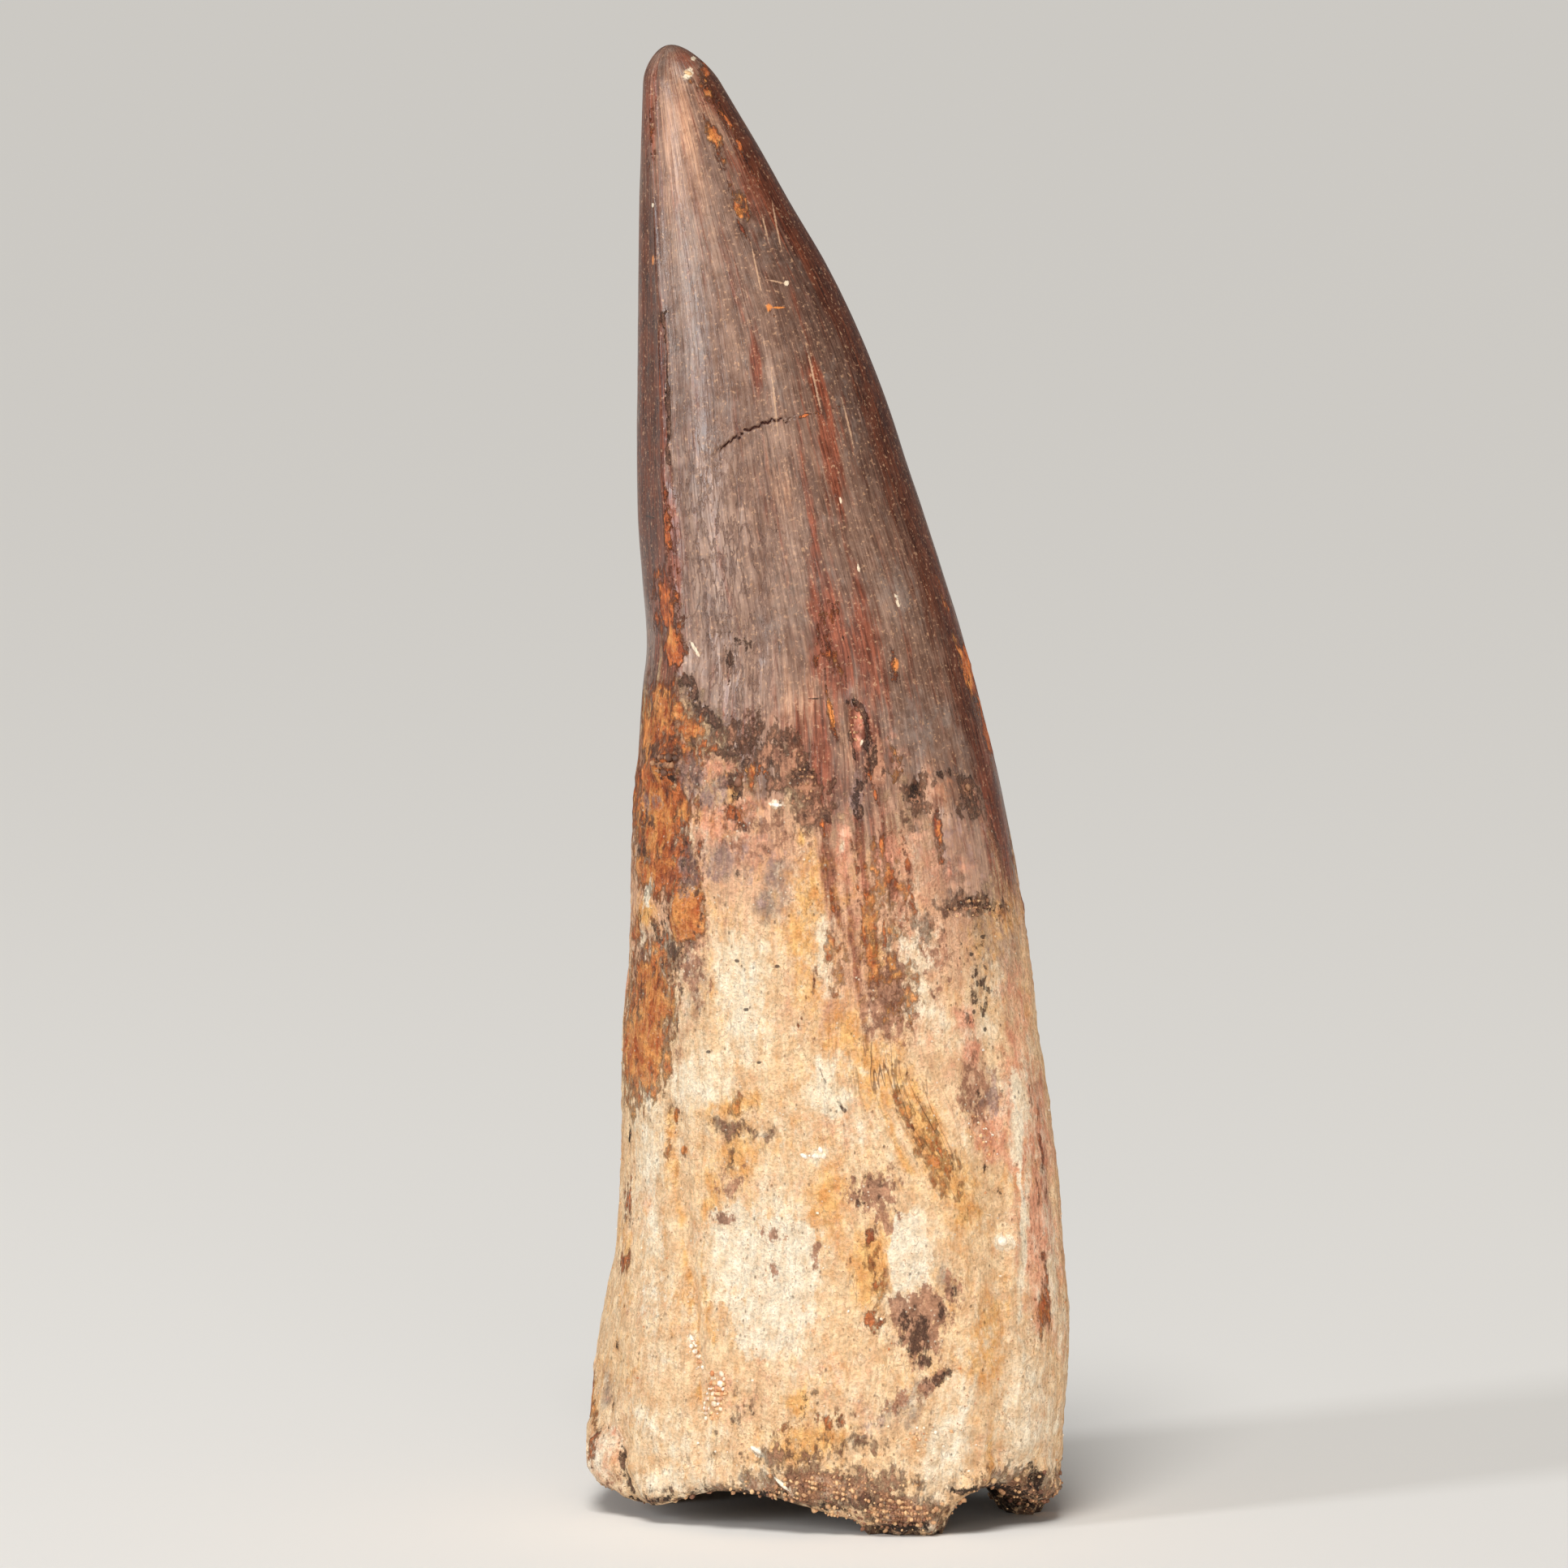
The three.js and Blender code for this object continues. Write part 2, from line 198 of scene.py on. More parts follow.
# Each layer, from the bottom one up: a lighter and a deeper colour, the pattern that parts
# them, how much it hides, how ragged it is and how soft its outline is.
LAYERS = {
    "stain": ((232, 180, 144), (200, 146, 114), "streaks", 0.9, 0.34, 0.38),
    "tan": ((180, 148, 128), (158, 125, 106), "streaks", 0.72, 0.3, 0.4),
    "purple": ((90, 62, 52), (66, 44, 36), "streaks", 0.72, 0.3, 0.4),
    "grey": ((154, 138, 128), (116, 100, 91), "mottle", 0.72, 0.4, 0.34),
    "red": ((152, 80, 54), (96, 44, 28), "streaks", 0.85, 0.45, 0.26),
    "maroon": ((106, 54, 32), (54, 22, 12), "streaks", 0.9, 0.4, 0.3),
    "pink": ((240, 168, 136), (216, 130, 100), "mottle", 0.8, 0.35, 0.34),
    "ochre": ((244, 190, 112), (222, 146, 66), "mottle", 0.8, 0.4, 0.34),
    "crust": ((200, 142, 108), (116, 72, 54), "mottle", 0.85, 0.6, 0.17),
    "cream": ((255, 243, 218), (242, 212, 172), "mottle", 0.9, 0.4, 0.3),
    "white": ((251, 240, 217), (240, 214, 180), "mottle", 0.9, 0.6, 0.12),
    "mauve": ((186, 132, 102), (130, 86, 66), "mottle", 0.88, 0.6, 0.13),
    "rust": ((242, 134, 66), (136, 57, 31), "mottle", 0.9, 0.6, 0.14),
    "amber": ((253, 178, 100), (202, 94, 40), "mottle", 0.85, 0.6, 0.17),
    "lilac": ((186, 152, 142), (144, 112, 102), "mottle", 0.8, 0.6, 0.2),
    "umber": ((124, 84, 64), (72, 47, 37), "mottle", 0.9, 0.6, 0.11),
    "dark": ((56, 38, 30), (28, 19, 16), "mottle", 0.95, 0.6, 0.09),
}

# Ovals on the show side, in the photograph's pixels: x, y, half width, half height, lean of
# the lower end to the right in degrees, and strength.
SPOTS = {
    "stain": {
        "below the crust": (960, 1060, 70, 60, 0, 1.0),
        # Painted highlight and sheen: the next three ovals lighten the tip's left-front face with this
        # layer's light tint.
        "tip highlight": (834, 165, 18, 70, 0, 0.85),
        "painted sheen below the tip": (846, 236, 22, 40, 2, 0.6),
        "tip": (850, 96, 24, 24, 20, 0.45),
        "right of the tip": (876, 140, 12, 44, 24, 0.6),
        "below the crack": (965, 600, 44, 50, 4, 0.45),
        "low centre": (1000, 880, 60, 60, 6, 0.55),
        "centre tongue": (1060, 1190, 60, 90, 6, 1.1),
        "right tongue": (1150, 1110, 60, 110, 8, 1.0),
        "right side": (1200, 1330, 30, 60, 6, 0.8),
    },
    "tan": {
        # Painted sheen and highlight: the first oval and the tip streak lighten the crown's left-front
        # face.
        "painted sheen below the tip": (850, 300, 40, 90, 3, 0.9),
        "below the sheen": (905, 430, 30, 110, 6, 0.45),
        "painted highlight streak at the tip": (832, 180, 5, 58, 0, 1.2),
        "beside the crack": (948, 548, 44, 20, 8, 0.75),
        "left end of the crack": (832, 567, 17, 7, 0, 1.0),
        "pale wrinkles": (882, 672, 40, 104, 2, 0.95),
        "pale middle": (967, 700, 17, 60, 3, 1.1),
        "pale tongue": (880, 850, 40, 36, 0, 0.7),
        "lower middle": (948, 850, 34, 80, 2, 0.6),
        "right of the dents": (852, 800, 18, 44, 14, 1.1),
        "between red streaks": (985, 640, 8, 70, 6, 0.7),
        "low right": (1092, 760, 22, 60, 9, 0.55),
        "right of the streaks": (1192, 1056, 30, 54, 6, 0.95),
        "low wrinkles": (900, 800, 44, 60, 2, 0.7),
        "right edge of the change": (1238, 1168, 14, 70, 6, 0.9),
    },
    "purple": {
        "right of the crown": (1004, 340, 48, 130, 24, 1.05),
        "right middle": (1045, 480, 34, 120, 17, 0.95),
        "below the band": (1085, 570, 30, 80, 15, 0.7),
        "beside the carina": (815, 470, 10, 130, 0, 1.1),
        "left of the sheen": (808, 320, 9, 90, 0, 0.95),
        "under the tip": (802, 215, 6, 26, 0, 0.7),
        "centre": (985, 590, 30, 60, 8, 0.45),
        "dark streak": (922, 258, 4, 16, 20, 1.0),
        "dark streaks below it": (932, 296, 16, 30, 20, 0.8),
        "right shade": (1130, 890, 20, 64, 10, 0.6),
    },
    "grey": {
        "sheen": (850, 390, 26, 150, 3, 0.62),
        "sheen foot": (858, 560, 26, 50, 0, 0.5),
        "left shading": (796, 722, 9, 54, 0, 1.1),
        "left shading below": (803, 790, 6, 26, 0, 0.8),
        "right shade": (1128, 884, 20, 66, 10, 0.5),
        "right shade above": (1110, 730, 24, 60, 10, 0.6),
        "blue patch": (874, 980, 22, 16, -20, 1.2),
        "blue beside the lump": (866, 930, 20, 16, 40, 0.95),
        "left blue spot": (839, 1070, 12, 15, 0, 1.1),
        "middle blue spot": (892, 1056, 26, 20, 0, 0.9),
        "right blue spot": (957, 1078, 16, 18, 0, 0.85),
        "lower blue patch": (948, 1113, 14, 20, -30, 0.9),
        "speckled right": (1207, 1215, 24, 80, 0, 0.35),
        "speckled left": (856, 1215, 16, 50, 0, 0.6),
        "beside the blotch": (1160, 1560, 12, 30, 10, 0.75),
        "wedge": (1126, 1718, 10, 46, -56, 0.95),
        "right foot of the salmon": (1268, 1650, 22, 26, 0, 0.35),
        "edge fibres": (746, 1716, 6, 34, 0, 0.8),
        "white rim": (1168, 1790, 22, 44, -20, 0.4),
        "ridge in the hollow": (1122, 1745, 14, 22, -50, 0.6),
    },
    "red": {
        "oval heart": (1057, 898, 10, 32, -4, 1.2),
        "between the crusts": (985, 900, 24, 40, 6, 0.8),
        "tip": (842, 74, 22, 16, 0, 0.7),
        "left of the tip": (797, 140, 9, 60, 0, 0.95),
        "right of the tip": (876, 122, 16, 26, 32, 0.8),
        "right flank": (930, 220, 20, 76, 27, 0.95),
        "right edge": (960, 262, 9, 60, 26, 0.9),
        "left band": (789, 470, 4, 170, 0, 0.9),
        "red streak": (934, 443, 5, 36, 4, 1.0),
        "red wedge": (1010, 478, 8, 40, 22, 1.1),
        "below the wedge": (1026, 560, 12, 66, 10, 0.85),
        "under the crack": (986, 560, 14, 50, 12, 0.5),
        "thin centre": (1002, 660, 8, 80, 7, 0.7),
        "smooth patch": (1024, 796, 24, 62, 8, 1.1),
        "right of the patch": (1066, 800, 22, 80, 9, 0.85),
        "middle streaks": (1012, 930, 22, 80, 4, 0.95),
        "mauve streaks": (1024, 1056, 9, 74, 6, 0.9),
        "long streak": (1050, 1150, 5, 90, 8, 0.9),
        "long streak beside it": (1080, 1150, 4, 80, 4, 0.7),
        "right long streak": (1118, 1190, 4, 70, 6, 0.6),
        "mauve tail": (1042, 1140, 12, 30, 10, 0.8),
        "right streaks": (1084, 1000, 16, 70, 8, 0.9),
        "right streaks below": (1092, 1078, 9, 50, 8, 0.75),
        "far right": (1136, 1046, 9, 70, 8, 0.5),
        "edge streaks": (1226, 1010, 12, 110, 9, 1.0),
        "edge above": (1172, 760, 8, 90, 15, 0.85),
        "iron top": (823, 850, 14, 34, 0, 0.9),
        "rust oval": (815, 1048, 12, 16, -15, 1.2),
        "tongue": (820, 690, 17, 92, 1, 1.1),
        "oval right": (1077, 930, 16, 44, 4, 0.8),
        "round the bulb": (826, 804, 17, 34, 0, 1.0),
        "tip left": (812, 104, 8, 24, 0, 0.55),
        "iron base": (812, 980, 34, 110, 0, 0.95),
        "iron base below": (804, 1230, 30, 90, 0, 0.7),
        "peach streak left": (1020, 1050, 5, 50, -3, 0.9),
        "tip right": (872, 112, 9, 30, 30, 0.7),
    },
    "maroon": {
        "left edge of the tip": (796, 220, 5, 50, 0, 0.6),
        "upper left band": (796, 330, 12, 90, 0, 1.15),
        "left band": (797, 490, 13, 130, 0, 1.3),
        "lower left band": (799, 650, 13, 90, 0, 1.2),
        # From here to the foot of the edge, the ovals are painted shade on the crown's right side, which
        # turns away from the light.
        "right of the tip": (930, 160, 9, 60, 30, 1.0),
        "right edge": (1016, 330, 14, 100, 24, 1.0),
        "right edge below": (1086, 520, 18, 120, 16, 1.15),
        "right edge middle": (1142, 700, 16, 100, 14, 1.1),
        "right edge low": (1186, 860, 14, 90, 14, 0.95),
        "foot of the edge": (1228, 990, 9, 70, 10, 0.7),
        "right of the oval": (1074, 935, 14, 44, 4, 0.95),
    },
    "pink": {
        "salmon band": (1270, 1440, 22, 190, 6, 1.15),
        "salmon foot": (1286, 1620, 17, 40, 0, 0.95),
        "salmon shoulder": (1218, 1400, 22, 34, 20, 0.8),
        "salmon patch": (1190, 1257, 11, 20, 0, 1.1),
        "pink patch": (1197, 1293, 10, 18, 0, 1.0),
        "square patch": (1158, 978, 16, 26, 0, 0.2),
        "pinkish right": (1196, 1050, 30, 52, 6, 0.25),
        "peach": (886, 1012, 30, 20, 0, 1.05),
        "peach below": (925, 1040, 40, 24, 0, 0.5),
        "peach beside the streaks": (1100, 1070, 40, 50, 4, 0.4),
        "peach right": (1180, 1070, 50, 30, 0, 0.36),
        "peach above the groove": (922, 998, 16, 14, 0, 0.9),
        "rosy grains": (890, 1712, 16, 34, -6, 0.35),
        "lilac smear": (1078, 1742, 22, 18, -20, 0.3),
        "lilac lump": (1136, 1768, 9, 15, 10, 0.4),
        "rosy hollow": (952, 1650, 44, 22, 0, 0.55),
        "rosy above the rim": (1020, 1690, 50, 22, 0, 0.5),
        "knob": (744, 1795, 22, 34, 0, 0.8),
        "right rim": (1280, 1740, 20, 50, 0, 0.5),
        "orange crust": (1107, 942, 11, 28, 8, 0.6),
        "peach streak": (1040, 1046, 7, 44, -3, 0.8),
        "peach between": (1062, 1116, 14, 50, 4, 0.6),
        "peach on the right": (1122, 1130, 22, 60, 6, 0.62),
        "oval heart": (1059, 886, 4, 12, 0, 0.85),
        "oval heart below": (1058, 914, 3, 8, 0, 0.8),
        "peach beside the lump": (878, 948, 18, 13, 0, 0.8),
        "column blush": (800, 1480, 18, 120, 0, 0.4),
    },
    "mauve": {
        "beside the oval": (1079, 937, 12, 24, 4, 1.0),
        "middle blotch": (1094, 1228, 26, 40, 0, 1.1),
        "above the blotch": (1070, 1160, 16, 34, 10, 0.4),
        "right patch": (1208, 1336, 22, 38, 6, 0.72),
        "blotch": (1076, 1470, 29, 26, 30, 1.06),
        "blotch foot": (1090, 1502, 14, 18, 0, 0.86),
        "left stain": (892, 1501, 15, 8, 0, 0.76),
        "left stain below": (953, 1520, 19, 13, 25, 0.82),
        "grey in the hollow": (905, 1460, 22, 20, 0, 0.55),
        "upper wedge": (1150, 1704, 12, 26, -56, 0.96),
        "lower wedge": (1106, 1732, 9, 22, -56, 0.8),
        "dark blotch": (1138, 1632, 30, 42, 12, 1.0),
        "dark blotch above": (1174, 1580, 14, 30, 10, 0.78),
        "grains": (880, 1716, 18, 34, -6, 0.2),
        "granular band": (960, 1762, 80, 22, 8, 0.3),
        "rosy stain": (1266, 1655, 20, 30, 0, 0.4),
        "iron foot": (812, 1290, 24, 34, -10, 0.5),
        "peach edge": (856, 1206, 16, 50, 0, 0.5),
        "knob foot": (748, 1834, 18, 12, 0, 0.6),
        "smear": (1142, 1134, 10, 22, 10, 0.42),
        "square patch": (1158, 980, 18, 26, 0, 0.7),
        "crumbly field": (935, 1012, 50, 40, 0, 0.5),
        "stain under it": (952, 1562, 6, 9, 0, 0.66),
        "streak on the white": (1006, 1548, 5, 20, -8, 0.66),
        "low stain": (884, 1650, 10, 6, 20, 0.66),
        "below the arch": (1152, 1184, 24, 44, 6, 0.46),
        "over the peach": (886, 944, 16, 9, 0, 0.5),
        "left of the peach streak": (1020, 1040, 6, 40, -3, 0.55),
    },
    "ochre": {
        "yellow edge": (795, 893, 4, 30, 0, 1.2),
        "yellow centre": (990, 1104, 12, 34, 4, 1.0),
        "yellow below it": (984, 1156, 18, 34, 0, 0.9),
        "yellow spot": (987, 1030, 7, 12, 0, 1.1),
        "yellow low": (1000, 1230, 22, 44, 12, 0.7),
        "yellow plate": (797, 1124, 10, 18, 0, 1.2),
        "groove line": (825, 1406, 5, 50, 0, 0.9),
        "hollow fibres": (912, 1425, 24, 36, 0, 1.0),
        "left hollow": (876, 1470, 20, 50, 0, 0.75),
        "orange arc": (900, 1362, 36, 12, 14, 1.05),
        "pale yellow patch": (988, 1727, 14, 13, 0, 1.2),
        "right zone": (1219, 1655, 22, 50, 0, 1.0),
        "left of the right zone": (1185, 1500, 26, 70, 10, 0.7),
        "right stripe": (1222, 1800, 7, 32, 3, 0.85),
        "fibres": (1084, 1322, 30, 38, 4, 1.15),
        "diagonal fibres": (1142, 1390, 22, 78, 24, 1.05),
        "centre band": (1076, 1566, 22, 48, 0, 1.05),
        "left edge strip": (731, 1725, 5, 30, 0, 1.0),
        "left edge": (772, 1545, 5, 60, 0, 0.6),
        "centre column": (1020, 1460, 30, 60, 0, 0.75),
        "rust patches": (1010, 1770, 50, 22, 10, 0.75),
        "middle column": (1040, 1270, 34, 50, 0, 0.7),
        "yellow column": (1004, 1095, 9, 50, 3, 1.0),
        "orange column": (1076, 1168, 14, 60, 4, 0.6),
        "yellow under the column": (1012, 1182, 15, 40, 0, 0.6),
        "round the white flake": (1000, 1350, 52, 46, 0, 0.55),
        "left column tint": (798, 1470, 22, 170, 0, 0.36),
    },
    "threads": {
        "olive fibres": (1084, 1316, 28, 36, 8, 1.5),
        "diagonal fibres": (1140, 1378, 24, 70, 24, 1.2),
        "centre band": (1074, 1570, 24, 60, 0, 0.7),
        "groove line": (826, 1400, 8, 60, 0, 0.8),
        "edge fibres": (744, 1710, 12, 46, 0, 0.6),
        "right side": (1290, 1500, 20, 260, 6, 0.6),
        "brown column": (1080, 1200, 60, 90, 6, 0.4),
        "red column": (1040, 1080, 40, 70, 6, 0.4),
        "iron": (806, 1240, 30, 90, 0, 0.4),
        "hollow": (905, 1430, 26, 40, 0, 0.5),
    },
    "crust": {
        "lump": (819, 941, 18, 18, 0, 1.2),
        "centre crust": (982, 962, 26, 42, 24, 0.9),
        "left crust": (940, 934, 36, 14, 10, 0.8),
        "below the boundary": (915, 905, 34, 20, 20, 0.5),
        "low crust": (1000, 1004, 16, 14, 0, 1.0),
        "iron shade": (838, 1040, 14, 22, 0, 0.35),
        "iron shade above": (842, 900, 20, 26, 30, 0.4),
        "moss": (818, 1170, 20, 26, 0, 0.5),
        "iron foot": (804, 1290, 26, 50, 0, 0.35),
        "arch": (1196, 1118, 36, 12, 0, 0.75),
        "left of the arch": (1142, 1138, 16, 20, 10, 0.4),
        "pit surrounds": (1130, 980, 14, 30, -14, 0.8),
        "ring": (1193, 972, 12, 14, 0, 0.9),
        "below the ring": (1192, 1000, 22, 10, 0, 0.5),
        "left grains": (905, 1722, 30, 40, -6, 0.2),
        "granular band": (1000, 1790, 90, 16, 6, 0.42),
        "rim": (1030, 1836, 100, 22, 0, 0.86),
        "rim left": (930, 1832, 60, 9, 4, 0.9),
        "left foot": (800, 1850, 40, 3, 0, 0.8),
        "right foot": (1255, 1836, 50, 24, 0, 0.9),
        "front foot": (1112, 1866, 48, 28, 0, 0.95),
        "brown column": (1094, 1190, 20, 50, 4, 0.3),
        "stain in the hollow": (898, 1387, 22, 13, 0, 0.62),
        "stain beside it": (941, 1397, 20, 9, 10, 0.62),
        "line down": (904, 1421, 6, 26, -20, 0.36),
    },
    "cream": {
        "bright centre": (912, 1225, 32, 64, 0, 1.05),
        "below the iron": (856, 1335, 40, 32, 0, 1.0),
        "beside the iron": (790, 1150, 8, 20, 0, 0.8),
        "white flake": (1012, 1330, 15, 30, -30, 1.15),
        "white flake foot": (1030, 1358, 14, 15, 0, 1.1),
        "cream streak": (1038, 1040, 3.5, 24, -4, 0.75),
        "cream streak beside it": (1006, 1080, 4, 40, 3, 0.6),
        # The upper column and lit column ovals lighten the left column: partly its cream colour, partly
        # painted light on the side that faces the light.
        "upper column": (800, 1410, 18, 70, 0, 0.85),
        "lit column": (802, 1600, 22, 160, 3, 0.42),
        "hollow": (905, 1545, 36, 54, 0, 0.95),
        "left of the line": (806, 1500, 12, 70, 0, 0.6),
        "hollow right": (975, 1556, 28, 66, 0, 0.95),
        "hollow foot": (950, 1640, 52, 30, 0, 0.95),
        "right of the band": (1124, 1546, 26, 48, -6, 1.1),
        # Painted highlight: these two ovals light the polished salmon ridge along its length.
        "painted highlight on the salmon ridge": (1255, 1370, 8, 70, -5, 1.15),
        "painted highlight low on the salmon ridge": (1263, 1510, 4, 100, -3, 1.05),
        "lower left": (836, 1776, 40, 44, 0, 0.75),
        "lower right": (1166, 1790, 24, 52, -14, 1.05),
        "right rim": (1268, 1740, 30, 60, 0, 1.05),
        "beside the mauve": (1136, 1226, 24, 74, 6, 0.72),
        "speckled right": (1214, 1244, 24, 60, 0, 0.6),
        "below the fibres": (950, 1480, 26, 20, 0, 0.6),
        "centre flakes": (1005, 1424, 24, 6, 12, 0.8),
        "knob": (744, 1796, 16, 34, -8, 0.9),
        "left of the arch of the rim": (820, 1824, 44, 22, 0, 0.85),
        "pale scar": (1050, 1780, 30, 26, 0, 0.45),
        "upper right": (1130, 1050, 12, 30, 10, 0.45),
        "right edge foot": (1292, 1760, 16, 60, 0, 1.0),
        "right edge": (1302, 1600, 8, 120, 6, 0.9),
        "centre column": (1014, 1180, 12, 44, 0, 0.85),
        "right edge above": (1298, 1520, 8, 60, 4, 0.6),
        "over the front foot": (1088, 1856, 26, 14, 0, 0.4),
        "left of the salmon": (1060, 1400, 20, 30, 0, 0.4),
        "right of the wedge": (1186, 1720, 26, 30, 0, 0.6),
        "column light": (802, 1375, 20, 54, 0, 0.7),
    },
    "rust": {
        "orange bulb": (830, 802, 11, 21, 3, 0.95),
        "above the bulb": (822, 742, 14, 44, 2, 0.74),
        "iron zone top": (822, 890, 28, 44, 12, 0.92),
        "iron zone": (812, 985, 30, 70, 0, 1.02),
        "iron right": (858, 915, 20, 24, 30, 0.62),
        "iron middle": (826, 1065, 26, 40, 0, 1.02),
        "flake plate": (848, 1126, 17, 26, 0, 0.9),
        "iron below": (802, 1215, 20, 60, 0, 0.9),
        "iron tail": (790, 1290, 22, 52, 0, 0.84),
        "spot": (948, 379, 4, 5, 0, 1.1),
        "right band": (1080, 497, 22, 5, 0, 0.5),
        "right speckles": (1104, 819, 5, 16, 0, 1.0),
        "bright streak": (1025, 880, 3, 24, 8, 0.8),
        "patch heart": (1022, 786, 15, 40, 6, 0.45),
        "right edge glow": (1166, 742, 5, 30, 14, 0.7),
        "right edge": (1196, 838, 6, 52, 19, 0.72),
        "right edge below": (1216, 905, 4, 34, 12, 0.66),
        "orange flecks": (904, 1006, 4, 14, -50, 0.9),
        "orange under the crust": (925, 952, 16, 14, 0, 0.5),
        "orange streaks": (1157, 1026, 6, 28, 6, 0.6),
        "orange specks": (1110, 1000, 8, 44, 6, 0.45),
        "tip": (870, 84, 10, 8, 30, 0.8),
        "hollow spot": (832, 1377, 3, 10, 0, 0.8),
        "hollow spot below": (842, 1418, 4, 6, 20, 0.8),
        "band spots": (1072, 1526, 13, 7, 20, 0.9),
        "band": (1078, 1580, 12, 40, 0, 0.4),
        "left edge spots": (769, 1556, 6, 12, 0, 0.7),
        "left edge spots above": (773, 1478, 4, 20, 0, 0.7),
        "foot spots": (1286, 1622, 7, 14, -10, 0.7),
        "centre line": (1030, 1225, 4, 26, -30, 0.4),
        "centre specks": (1000, 1278, 6, 5, 0, 0.9),
        "knob veins": (732, 1782, 4, 26, -6, 0.7),
        "grain band": (1020, 1752, 60, 12, 8, 0.55),
        "red-brown spot": (1078, 1627, 12, 12, 0, 0.7),
        "edge below the change": (1246, 1010, 6, 70, 8, 0.5),
        "tip right": (876, 122, 9, 34, 30, 0.34),
        "tip left edge": (801, 150, 5, 60, 0, 0.3),
    },
    "amber": {
        "orange bulb": (831, 789, 8, 11, 3, 1.0),
        "iron top": (812, 868, 16, 22, 10, 1.0),
        "iron by the boundary": (852, 900, 16, 18, 34, 0.95),
        "beside the lump": (850, 948, 10, 16, 30, 1.0),
        "iron heart": (804, 1010, 16, 50, 0, 1.12),
        "iron right": (840, 1000, 12, 20, 0, 0.8),
        "under the oval": (824, 1064, 9, 7, 20, 1.2),
        "iron low": (800, 1075, 10, 16, 0, 1.2),
        "flake plate": (847, 1124, 16, 26, 0, 1.2),
        "left column": (800, 1240, 22, 50, 0, 1.25),
        "left column foot": (790, 1290, 22, 54, 0, 1.2),
        "peach flecks": (896, 962, 16, 20, -50, 0.5),
        "above the groove": (922, 1000, 10, 12, 0, 0.5),
        "orange crust": (1104, 944, 10, 26, 6, 0.55),
        "bright streak": (1025, 880, 2.6, 24, 8, 0.9),
        "smooth patch": (1024, 800, 14, 40, 8, 0.42),
        "right edge": (1198, 846, 6, 54, 19, 0.5),
        "right edge above": (1168, 752, 4, 34, 15, 0.42),
        "right edge below": (1219, 912, 4, 34, 10, 0.42),
        "right streaks": (1157, 1028, 6, 26, 6, 0.75),
        "orange between streaks": (1090, 1080, 20, 44, 4, 0.55),
        "orange of the brown column": (1106, 1190, 26, 70, 4, 0.4),
        "orange beside it": (1030, 1180, 12, 50, 0, 0.5),
        "centre foot": (1076, 1564, 13, 38, 0, 0.6),
        "diagonal": (1150, 1420, 16, 56, 24, 0.55),
        "hollow line": (905, 1362, 18, 7, 62, 0.8),
        "left of the hollow": (824, 1400, 3, 30, 0, 0.6),
        "salmon foot": (1286, 1620, 9, 22, 0, 0.8),
        "flank": (884, 176, 7, 34, 20, 0.7),
        "flank below": (912, 250, 7, 22, 20, 0.7),
        "left edge strip": (730, 1724, 4, 26, 0, 0.9),
        "orange column": (1074, 1160, 11, 54, 4, 0.62),
        "right of the bubble": (920, 954, 11, 14, 0, 0.62),
        "tip": (868, 106, 8, 18, 30, 0.62),
        "iron patch one": (800, 1036, 9, 9, 0, 1.15),
        "iron patch two": (790, 1072, 7, 16, 0, 1.15),
        "iron patch three": (845, 1002, 8, 10, 0, 1.05),
        "iron patch four": (824, 1000, 6, 22, 0, 1.1),
        "iron patch five": (798, 900, 7, 20, 0, 1.05),
        "iron patch six": (834, 876, 9, 9, 0, 1.0),
        "column patch one": (794, 1205, 9, 22, 0, 1.15),
        "column patch two": (812, 1240, 9, 14, 0, 1.15),
        "iron patch eight": (786, 1150, 7, 18, 0, 1.0),
        "iron patch nine": (850, 930, 9, 12, 20, 0.9),
        "column patch four": (806, 1304, 9, 14, 0, 1.0),
        "column patch five": (818, 1210, 7, 12, 0, 0.95),
        "diagonal high": (1116, 1368, 7, 32, 22, 0.6),
        "column patch six": (806, 1180, 8, 16, 0, 0.9),
    },
    "umber": {
        "grey tongue": (1056, 984, 6, 24, -2, 0.56),
        "boundary": (868, 878, 7, 44, 38, 0.5),
        "crust": (984, 962, 14, 28, 24, 0.6),
        "crust left": (942, 936, 24, 8, 10, 0.55),
        "crust under the streaks": (1003, 1004, 12, 10, 0, 0.7),
        "lump": (819, 944, 14, 14, 0, 0.6),
        "bubble": (906, 968, 8, 12, 0, 1.2),
        "arc over the bubble": (898, 927, 4, 14, -73, 1.0),
        "iron speckles": (835, 920, 20, 50, 0, 0.42),
        "iron speckles below": (826, 1010, 22, 50, 0, 0.36),
        "iron speckles at the foot": (812, 1180, 26, 60, 0, 0.36),
        "iron edge": (846, 1080, 10, 40, 0, 0.32),
        "moss": (815, 1160, 12, 14, 0, 0.48),
        "moss right": (836, 1176, 9, 12, 0, 0.35),
        "iron shade": (836, 1040, 14, 24, 0, 0.34),
        "arch": (1200, 1117, 36, 9, 4, 0.5),
        "right speckles": (1206, 1222, 13, 62, 0, 0.38),
        "dark speckles": (1192, 1001, 14, 8, 0, 0.6),
        "square top": (1159, 951, 12, 4, 0, 1.1),
        "ring": (1193, 967, 7, 7, 0, 1.2),
        "blotch": (1128, 1640, 16, 34, 14, 0.66),
        "blotch above": (1171, 1588, 8, 18, 0, 0.6),
        "right of the pit": (1118, 1010, 14, 30, 8, 0.4),
        "right patch": (1210, 1348, 12, 20, 6, 0.2),
        "rim": (1050, 1856, 90, 12, 0, 0.54),
        "rim left": (915, 1838, 90, 5, 0, 0.5),
        "front foot": (1110, 1880, 40, 12, 0, 0.6),
        "knob top": (745, 1760, 12, 2.5, 0, 0.4),
        "middle crust": (955, 912, 30, 10, 10, 0.4),
